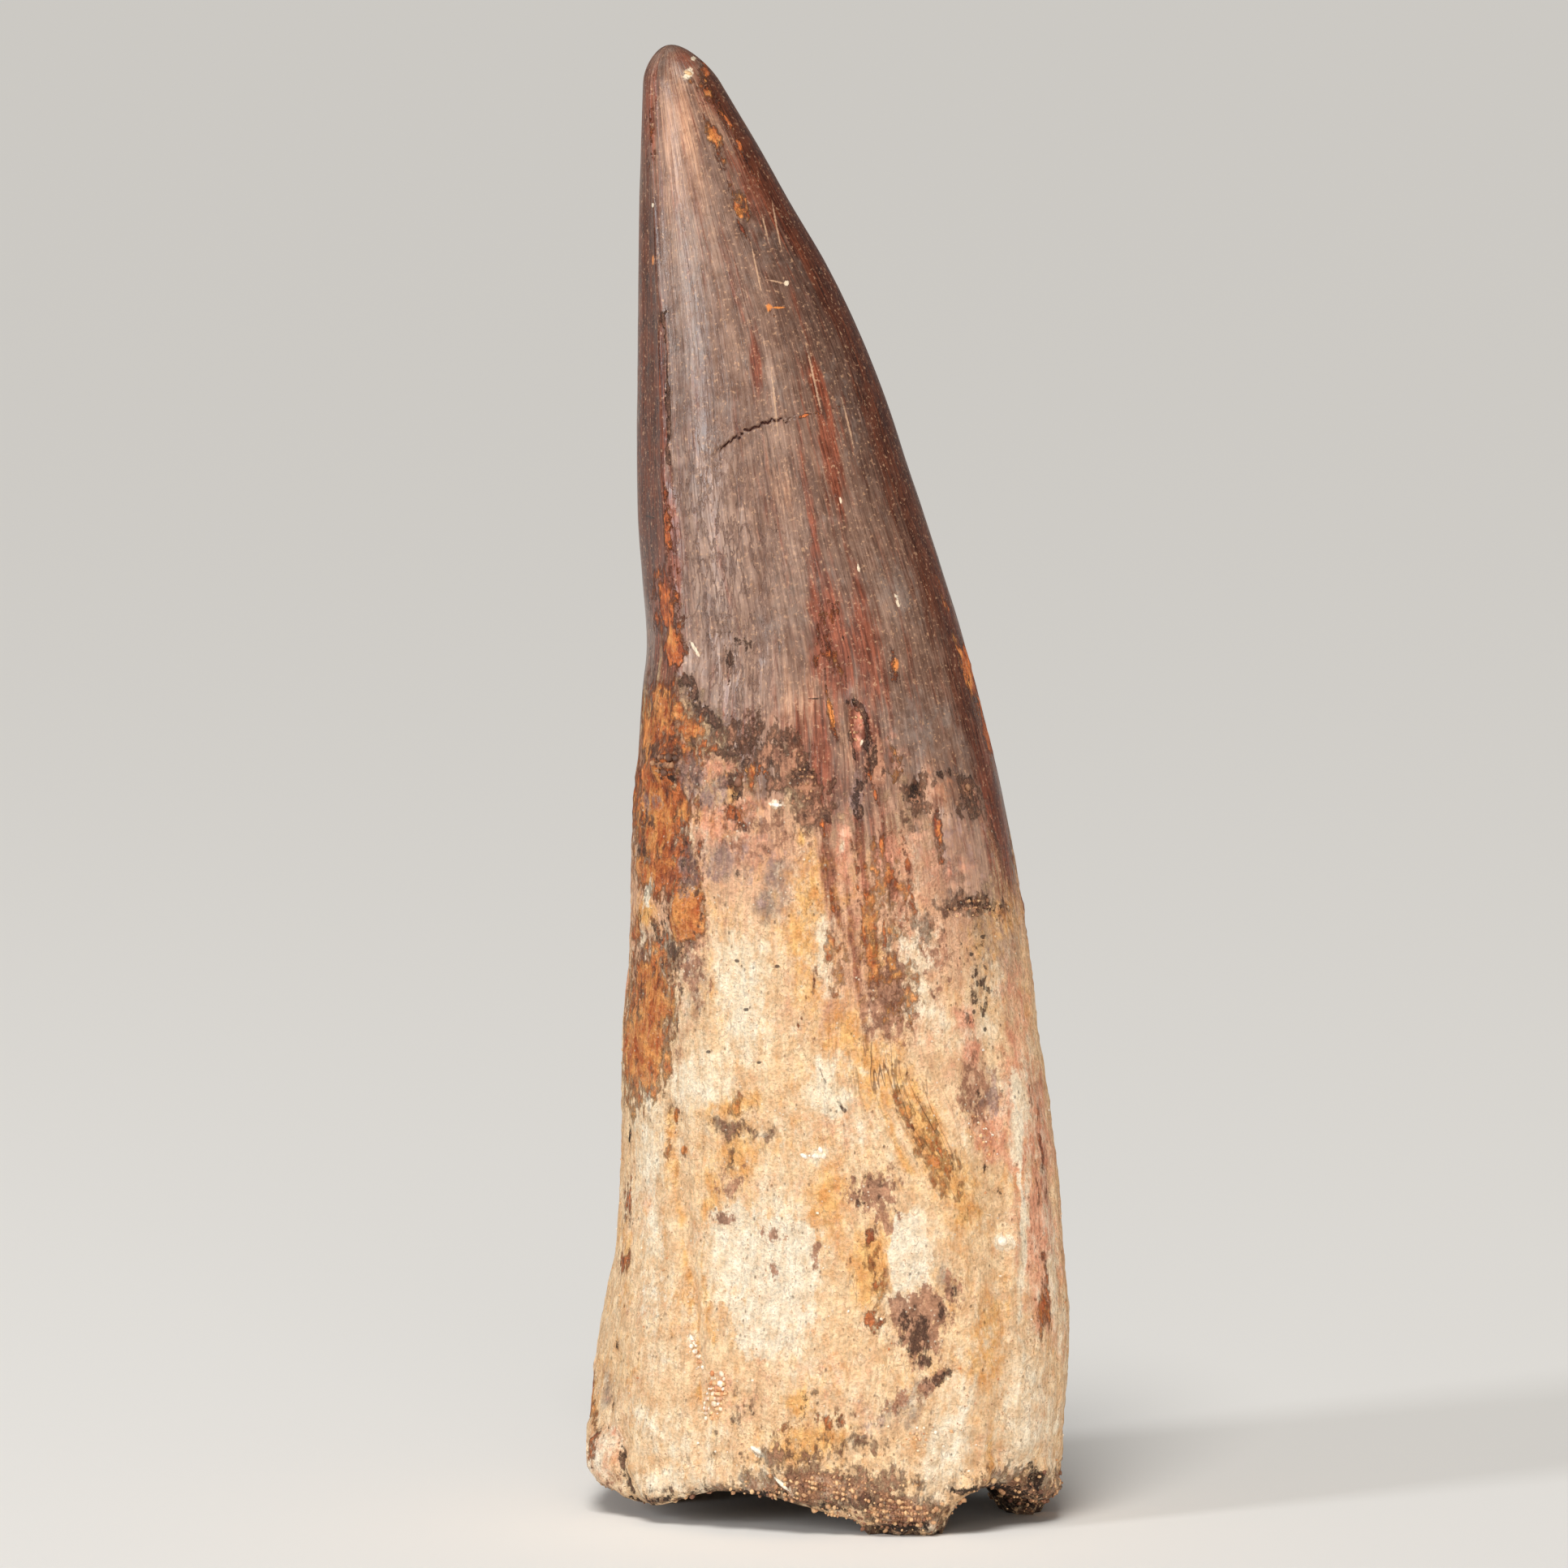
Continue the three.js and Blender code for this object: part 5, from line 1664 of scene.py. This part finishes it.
class Board:
    """The node board of a material, with short ways to add what this object needs."""

    def __init__(self, name):
        self.material = bpy.data.materials.new(name)
        self.material.use_nodes = True
        self.tree = self.material.node_tree
        self.shader = self.tree.nodes["Principled BSDF"]

    def feed(self, socket, value):
        if isinstance(value, bpy.types.NodeSocket):
            self.tree.links.new(value, socket)
        else:
            socket.default_value = value

    def add(self, kind, inputs, **settings):
        node = self.tree.nodes.new(kind)
        for name, value in settings.items():
            setattr(node, name, value)
        for key, value in inputs.items():
            self.feed(node.inputs[key], value)
        return node

    def attribute(self, name, output="Fac"):
        return self.add("ShaderNodeAttribute", {}, attribute_name=name).outputs[output]

    def place(self):
        """Where a point lies on the object, in mm."""
        spot_on = self.add("ShaderNodeTexCoord", {}).outputs["Object"]
        return self.stretch(spot_on, (1 / MM, 1 / MM, 1 / MM))

    def maths(self, operation, *values, clamp=False):
        inputs = dict(enumerate(values))
        return self.add("ShaderNodeMath", inputs, operation=operation, use_clamp=clamp).outputs[0]

    def product(self, first, *others):
        for other in others:
            first = self.maths("MULTIPLY", first, other)
        return first

    def stretch(self, vector, factors):
        node = self.add("ShaderNodeVectorMath", {0: vector, 1: factors}, operation="MULTIPLY")
        return node.outputs[0]

    def spread(self, value, low, high, to_low=0, to_high=1):
        """The value's run from low to high, smoothly, as 0 to 1 or other ends."""
        inputs = {"Value": value, "From Min": low, "From Max": high, "To Min": to_low, "To Max": to_high}
        return self.add("ShaderNodeMapRange", inputs, interpolation_type="SMOOTHSTEP").outputs[0]

    def around_half(self, noise, reach, to_low=0, to_high=1):
        """The same for noise, whose mean is one half, from `reach` below it to `reach` above it."""
        return self.spread(noise, 0.5 - reach, 0.5 + reach, to_low, to_high)

    def ragged(self, field, noise, strength):
        """The field, pushed up and down by noise whose mean is one half."""
        return self.maths("MULTIPLY_ADD", self.maths("SUBTRACT", noise, 0.5), strength, field)

    def noise(self, vector, size, detail=4, roughness=0.55):
        """Noise with hills about `size` apart in the vector's unit."""
        inputs = {"Vector": vector, "Scale": 1 / size, "Detail": detail, "Roughness": roughness}
        return self.add("ShaderNodeTexNoise", inputs).outputs[0]

    def lines(self, vector, size, detail, roughness):
        """0 on the thin wandering lines where such noise passes its mean."""
        noise = self.noise(vector, size, detail, roughness)
        return self.maths("ABSOLUTE", self.maths("SUBTRACT", noise, 0.5))

    def specks(self, vector, size):
        """Distance from scattered points, about 0 to 1, with points about `size` apart."""
        return self.add("ShaderNodeTexVoronoi", {"Vector": vector, "Scale": 1 / size}).outputs[0]

    def blend(self, factor, low, high):
        """Numbers mixed as `mix` mixes colours."""
        return self.add("ShaderNodeMix", {0: factor, 2: low, 3: high}).outputs[0]

    def mix(self, factor, low, high, blend_type="MIX"):
        inputs = {0: factor, 6: low, 7: high}
        return self.add("ShaderNodeMix", inputs, data_type="RGBA", blend_type=blend_type).outputs[2]

    def two_tints(self, noise, deep, light, reach):
        """The deep tint where the noise is low, the light one where it is high."""
        return self.mix(self.around_half(noise, reach), linear(*deep), linear(*light))

    def shade(self, colour, share):
        """The colour made lighter or darker by a number near 1."""
        grey = self.add("ShaderNodeCombineColor", {0: share, 1: share, 2: share}).outputs[0]
        return self.mix(1.0, colour, grey, "MULTIPLY")

    def bump(self, height_mm):
        """Fine relief whose height is in millimetres."""
        return self.add("ShaderNodeBump", {"Height": height_mm, "Distance": MM}).outputs[0]


def fine_patterns(board):
    """The spaces and fine patterns that colour, gloss and relief share."""
    place = board.place()
    grain = board.attribute("grain", "Vector")
    long_grain = board.stretch(grain, LONG_GRAIN)
    fibre_grain = board.stretch(grain, FIBRE_GRAIN)
    return SimpleNamespace(
        place=place, fibre_grain=fibre_grain,
        striae=board.noise(long_grain, *FINE_NOISE["striae"]),
        hair=board.lines(long_grain, *FINE_NOISE["hair"]),
        fibres=board.noise(fibre_grain, *FINE_NOISE["fibres"]),
        mottle=board.noise(place, *FINE_NOISE["mottle"]),
        grit=board.noise(place, *FINE_NOISE["grit"]),
        squat=board.stretch(place, SQUAT),
    )


def layered_colour(board, fine, enamel):
    """The colour with every layer on it, and how much each layer covers."""
    patterns = {
        "streaks": board.blend(PATTERN_BLENDS["streaks"], fine.striae, fine.mottle),
        "mottle": board.blend(PATTERN_BLENDS["mottle"], fine.mottle, fine.fibres),
    }
    bare_enamel = board.two_tints(patterns["streaks"], *ENAMEL_TINTS)
    bare_dentine = board.two_tints(patterns["mottle"], *DENTINE_TINTS)
    colour = board.mix(enamel, bare_dentine, bare_enamel)
    covered = {}
    for index, (name, (light, deep, pattern, hides, ragged, soft)) in enumerate(LAYERS.items()):
        base = fine.fibre_grain if pattern == "streaks" else fine.squat
        shift = (LAYER_SHIFT * index + 3, 0, 0)
        shifted = board.add("ShaderNodeVectorMath", {0: base, 1: shift}).outputs[0]
        rag = board.noise(shifted, RAG_SIZES[pattern], RAG_DETAIL, RAG_ROUGHNESS)
        field = board.attribute(name)
        cover = board.around_half(board.ragged(field, rag, RAG_STRENGTH * ragged), soft, 0, hides)
        covered[name] = board.product(cover, board.spread(field, 0.02, 0.25))
        tint = board.two_tints(patterns[pattern], deep, light, LAYER_TINT_REACH)
        colour = board.mix(covered[name], colour, tint)
    return colour, covered


def crisp_field(board, seen, marks_of_kind):
    """The strongest of several small ovals: 1 in the middle and 0 on the outline."""
    total = 0.0
    for x, y, half_width, half_height, lean in marks_of_kind.values():
        inputs = {
            "Vector": seen, "Location": (x, y, 0), "Rotation": (0, 0, -math.radians(lean)),
            "Scale": (half_width, half_height, CRISP_DEPTH),
        }
        placed = board.add("ShaderNodeMapping", inputs, vector_type="TEXTURE").outputs[0]
        length = board.add("ShaderNodeVectorMath", {0: placed}, operation="LENGTH").outputs["Value"]
        near = board.maths("SUBTRACT", 1, length, clamp=True)
        total = board.maths("MAXIMUM", total, near)
    return total


def with_crisp_marks(board, fine, colour):
    """The colour with the main crack and the small crisp marks drawn on it."""
    cracked = board.around_half(board.attribute("crack"), 0.25)
    colour = board.mix(cracked, colour, linear(*CRACK_TINT))
    seen = board.attribute("seen", "Vector")
    shown = board.add("ShaderNodeSeparateXYZ", {0: seen}).outputs[2]
    flat_seen = board.stretch(seen, (1, 1, 0))
    for name, tint in CRISP_TINTS.items():
        field = crisp_field(board, flat_seen, CRISP_MARKS[name])
        field = board.ragged(field, fine.grit, CRISP_RAG)
        cover = board.product(board.spread(field, *CRISP_EDGE, 0, CRISP_HIDES), shown)
        colour = board.mix(cover, colour, linear(*tint))
    return colour


def weathering_and_painted_shade(board, fine, enamel):
    """How strongly each kind of weathering shows, from 0 up, with painted shade in creases and furrows
    and painted glints on enamel among them.
    """
    bare = board.maths("SUBTRACT", 1, enamel)
    wrinkles = board.stretch(fine.place, WRINKLED)

    def shown(name, distance, *shares):
        return board.product(board.spread(distance, *WEATHER_AND_PAINTED_SHADE[name]["edge"]), *shares)

    def mostly_bare(name):
        return board.maths("MAXIMUM", bare, WEATHER_AND_PAINTED_SHADE[name]["on enamel"])

    def specks(name, space):
        kind = WEATHER_AND_PAINTED_SHADE[name]
        distance = board.specks(space, kind["spacing"])
        patches = board.spread(board.noise(fine.place, kind["patch size"], 3), *kind["patch edge"])
        return shown(name, distance, patches, mostly_bare(name))

    return {
        "threads": shown("threads", board.lines(fine.fibre_grain, *FINE_NOISE["threads"]),
                         board.attribute("threads")),
        "shaded furrows": shown("shaded furrows", board.lines(wrinkles, *FINE_NOISE["shaded furrows"]),
                         board.attribute("shaded furrows")),
        "creases": shown("creases", board.lines(fine.squat, *FINE_NOISE["creases"]),
                         board.spread(fine.mottle, 0.46, 0.56), mostly_bare("creases")),
        "crumbs": specks("crumbs", fine.place),
        "pores": specks("pores", fine.squat),
    }


def fine_shading(board, fine, enamel):
    """Light and dark near 1: gritty on dentine, with dark hairlines between striae on enamel."""
    striated = board.product(
        board.around_half(fine.striae, *SHADING["striae"]),
        board.spread(fine.hair, 0, HAIR_EDGE, HAIR_SHADE, 1),
        board.around_half(fine.grit, *SHADING["enamel grit"]),
    )
    clearness = board.around_half(board.noise(fine.squat, 3.4, 3), *SHADING["clearness of striae"])
    on_enamel = board.blend(clearness, 1.0, striated)
    on_dentine = board.around_half(fine.grit, *SHADING["dentine grit"])
    mottled = board.around_half(fine.mottle, *SHADING["mottle"])
    return board.product(mottled, board.blend(enamel, on_dentine, on_enamel))


def fossil_roughness(board, fine, enamel, crusty):
    clean = board.maths("SUBTRACT", 1, board.product(crusty, CRUST_DULLS))
    gloss = board.product(enamel, clean)
    even = board.maths("MULTIPLY_ADD", gloss, ENAMEL_ROUGHNESS - DENTINE_ROUGHNESS, DENTINE_ROUGHNESS)
    return board.maths("ADD", even, board.around_half(fine.mottle, 0.14, -0.05, 0.06))


def fine_height(board, fine, enamel, crusty, weather):
    """The height of the finest relief, in mm."""
    hair = board.spread(fine.hair, 0, 0.03, 0, FINE_HEIGHTS["hair"])
    on_enamel = board.maths("MULTIPLY_ADD", fine.striae, FINE_HEIGHTS["striae"], hair)
    grit = board.product(fine.grit, FINE_HEIGHTS["grit"])
    on_dentine = board.maths("MULTIPLY_ADD", fine.fibres, FINE_HEIGHTS["fibres"], grit)
    height = board.blend(enamel, on_dentine, on_enamel)
    lumps_of_crust = board.product(fine.mottle, FINE_HEIGHTS["crust lumps"])
    crust = board.maths("MULTIPLY_ADD", fine.grit, FINE_HEIGHTS["crust grit"], lumps_of_crust)
    height = board.maths("ADD", height, board.product(crust, crusty))
    for name, kind in WEATHER_AND_PAINTED_SHADE.items():
        if kind["height"]:
            height = board.maths("MULTIPLY_ADD", weather[name], kind["height"], height)
    return height


def fossil_material():
    board = Board("fossil")
    fine = fine_patterns(board)
    enamel = board.around_half(board.ragged(board.attribute("enamel"), fine.mottle, 1.6), 0.2)
    colour, covered = layered_colour(board, fine, enamel)
    colour = with_crisp_marks(board, fine, colour)
    weather = weathering_and_painted_shade(board, fine, enamel)
    # Weathering tints, among them painted shade in creases and furrows and painted glints on enamel.
    for name, kind in WEATHER_AND_PAINTED_SHADE.items():
        cover = board.maths("MULTIPLY", weather[name], kind["hides"], clamp=True)
        colour = board.mix(cover, colour, linear(*kind["tint"]))
    colour = board.shade(colour, fine_shading(board, fine, enamel))

    crusty = covered["umber"]
    for name in ("rust", "dark", "crust", "amber"):
        crusty = board.maths("MAXIMUM", crusty, covered[name])
    height = fine_height(board, fine, enamel, crusty, weather)
    board.feed(board.shader.inputs["Base Color"], colour)
    board.feed(board.shader.inputs["Roughness"], fossil_roughness(board, fine, enamel, crusty))
    board.shader.inputs["Specular IOR Level"].default_value = 0.36
    board.feed(board.shader.inputs["Normal"], board.bump(height))
    return board.material


# ---- Grains, pebbles and shards ----

def unit_grain():
    """Points and faces of a small round solid of 80 triangles."""
    ball = bmesh.new()
    bmesh.ops.create_icosphere(ball, subdivisions=1, radius=1)
    points = np.array([vertex.co for vertex in ball.verts])
    faces = np.array([[vertex.index for vertex in face.verts] for face in ball.faces])
    ball.free()
    return points, faces


class GrainHeap:
    """Collects grains that stick to the skin, then joins them in one piece."""

    def __init__(self, skin_piece):
        vertices = skin_piece.data.vertices
        self.places = np.array([vertex.co for vertex in vertices]) / MM
        self.normals = np.array([vertex.normal for vertex in vertices])
        seen = np.empty(len(vertices) * 3, np.float32)
        skin_piece.data.attributes["seen"].data.foreach_get("vector", seen)
        self.seen = seen.reshape(-1, 3)
        self.generator = np.random.default_rng(GRAIN_SEED)
        self.ball, self.faces = unit_grain()
        self.points = []
        self.tones = []

    def stick(self, index, half_sizes, turned, tone, dents):
        """One grain, sunk a little into the skin at one of its points."""
        rough = 1 + dents * self.generator.standard_normal(len(self.ball))
        shape = (self.ball * rough[:, None] * half_sizes) @ turned.T
        middle = self.places[index] + GRAIN_SINK * min(half_sizes) * self.normals[index]
        self.points.append(middle + shape)
        self.tones.append(np.full(len(self.ball), tone))

    def scatter(self, weights, count, radii, tones):
        weights = weights * (self.places[:, 2] > GRAIN_CLEARANCE)
        chosen = self.generator.choice(len(weights), size=count, p=weights / weights.sum())
        for index in chosen:
            radius = radii[0] + (radii[1] - radii[0]) * self.generator.random() ** 2
            half_sizes = radius * self.generator.uniform(*GRAIN_SHAPE, 3)
            turned = np.array(Euler(self.generator.uniform(0, 2 * math.pi, 3)).to_matrix())
            self.stick(index, half_sizes, turned, self.generator.uniform(*tones), GRAIN_DENTS)

    def lay(self, x, y, lean, half_width, half_height, thickness, tone):
        """One pebble or shard that lies flat on the skin where the photograph shows it."""
        gap = np.hypot(self.seen[:, 0] - x, self.seen[:, 1] - y) + FAR * (self.seen[:, 2] < 0.5)
        index = int(np.argmin(gap))
        out = Vector(self.normals[index])
        along = Vector((math.sin(math.radians(lean)), 0, -math.cos(math.radians(lean))))
        along = (along - along.dot(out) * out).normalized()
        turned = np.column_stack([out.cross(along), out, along])
        half_sizes = np.array([half_width, thickness, half_height])
        self.stick(index, half_sizes, turned, tone, PEBBLE_DENTS)

    def joined(self, name):
        starts = np.arange(len(self.points))[:, None, None] * len(self.ball)
        faces = (self.faces + starts).reshape(-1, 3).tolist()
        piece = mesh_object(name, into_box(np.concatenate(self.points)), faces)
        set_attribute(piece, "tone", np.concatenate(self.tones))
        return piece


def sand_grains(skin_piece):
    heap = GrainHeap(skin_piece)
    for kind in (RIM_GRAINS, LOOSE_GRAINS):
        low = 1 - smooth(heap.places[:, 2], kind["top"] / 4, kind["top"])
        clean = heap.seen[:, 2] * spot(heap.seen[:, :2], *CLEAN_RIM)
        heap.scatter(np.clip(low - clean, 0, 1) ** 2, kind["count"], kind["radii"], kind["tones"])
    for oval, count, radii, tones in GRAIN_CLUSTERS.values():
        inside = heap.seen[:, 2] * spot(heap.seen[:, :2], *oval)
        heap.scatter(np.maximum(inside - 0.4, 0) ** 2, count, radii, tones)
    for pebble in PEBBLES.values():
        heap.lay(*pebble)
    piece = heap.joined("sand_grains")
    piece.data.materials.append(grain_material())
    return piece


def grain_material():
    board = Board("sand")
    tone = board.attribute("tone")
    ramp = board.add("ShaderNodeValToRGB", {0: tone})
    ramp.color_ramp.interpolation = "LINEAR"
    stops = ramp.color_ramp.elements
    stops.remove(stops[-1])
    stops[0].color = linear(*GRAIN_TINTS[0.0])
    for position, tint in list(GRAIN_TINTS.items())[1:]:
        stops.new(position).color = linear(*tint)
    place = board.place()
    shade = board.around_half(board.noise(place, 0.25, 4), 0.15, 0.75, 1.1)
    height = board.product(board.noise(place, 0.12, 3), 0.03)
    board.feed(board.shader.inputs["Base Color"], board.shade(ramp.outputs[0], shade))
    board.shader.inputs["Roughness"].default_value = 0.62
    board.feed(board.shader.inputs["Normal"], board.bump(height))
    return board.material


# ---- Floor, lights and camera ----

def studio_floor():
    corners = FLOOR_HALF_SIDE * np.array([(-1, -1, 0), (1, -1, 0), (1, 1, 0), (-1, 1, 0)])
    floor = mesh_object("floor", corners, [(0, 1, 2, 3)])
    board = Board("pale floor")
    board.shader.inputs["Base Color"].default_value = linear(*FLOOR_TINT)
    board.shader.inputs["Roughness"].default_value = 1.0
    board.shader.inputs["Specular IOR Level"].default_value = 0.0
    floor.data.materials.append(board.material)


def direction(azimuth, elevation):
    """Away from the tooth. Azimuth 0 is towards the camera, and left is negative."""
    round_angle = math.radians(azimuth)
    up_angle = math.radians(elevation)
    level = math.cos(up_angle)
    return Vector((level * math.sin(round_angle), -level * math.cos(round_angle), math.sin(up_angle)))


def aimed(name, data, target, away, distance):
    """A lamp or a camera, at a distance in metres from what it faces."""
    piece = bpy.data.objects.new(name, data)
    piece.location = target + away * distance
    piece.rotation_euler = away.to_track_quat("Z", "Y").to_euler()
    bpy.context.scene.collection.objects.link(piece)
    return piece


def soft_light(name, azimuth, elevation, distance, width, height, power, tint):
    """A rectangular light that faces the tooth, with its sides and distance in metres."""
    lamp = bpy.data.lights.new(name, "AREA")
    lamp.shape = "RECTANGLE"
    lamp.size = width
    lamp.size_y = height
    lamp.energy = power
    lamp.color = tint
    target = Vector((CAMERA_AIM[0], 0, LIGHT_TARGET_HEIGHT)) * MM
    return aimed(name, lamp, target, direction(azimuth, elevation), distance)


def keep_off_the_floor(light, pieces):
    """Let a lamp close to the floor light the pieces alone."""
    lit = bpy.data.collections.new("lit by " + light.name)
    for piece in pieces:
        lit.objects.link(piece)
    light.light_linking.receiver_collection = lit


def overhead_light():
    """Broad even light from above the camera's left, which keeps the floor pale to its end."""
    lamp = bpy.data.lights.new("overhead", "SUN")
    lamp.energy = OVERHEAD["strength"]
    lamp.angle = math.radians(OVERHEAD["softness"])
    lamp.color = OVERHEAD["tint"]
    away = direction(OVERHEAD["azimuth"], OVERHEAD["elevation"])
    aimed("overhead", lamp, Vector(), away, 0)


def studio_lights(pieces):
    overhead_light()
    for name, settings in LIGHTS.items():
        light = soft_light(name, **settings)
        if settings["elevation"] < 0:
            keep_off_the_floor(light, pieces)
    world = bpy.data.worlds.new("studio")
    world.use_nodes = True
    background_node = world.node_tree.nodes["Background"]
    background_node.inputs["Color"].default_value = linear(*WORLD_TINT)
    background_node.inputs["Strength"].default_value = WORLD_STRENGTH
    bpy.context.scene.world = world
    bpy.context.scene.view_settings.view_transform = "Standard"


def photo_camera():
    lens = bpy.data.cameras.new("camera")
    lens.sensor_width = SENSOR_WIDTH
    lens.lens = SENSOR_WIDTH * CAMERA_DISTANCE * PIXELS_PER_MM / PHOTO_SIDE
    lens.clip_end = CAMERA_SIGHT_METRES
    target = Vector(CAMERA_AIM.tolist()) * MM
    away = direction(0, CAMERA_ELEVATION)
    bpy.context.scene.camera = aimed("camera", lens, target, away, CAMERA_DISTANCE * MM)


# ---- The whole scene ----

tooth = tooth_skin()
tooth.data.materials.append(fossil_material())
grains = sand_grains(tooth)
for part in (tooth, grains):
    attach(part, "root")
    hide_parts("tooth")

studio_floor()
studio_lights((tooth, grains))
photo_camera()
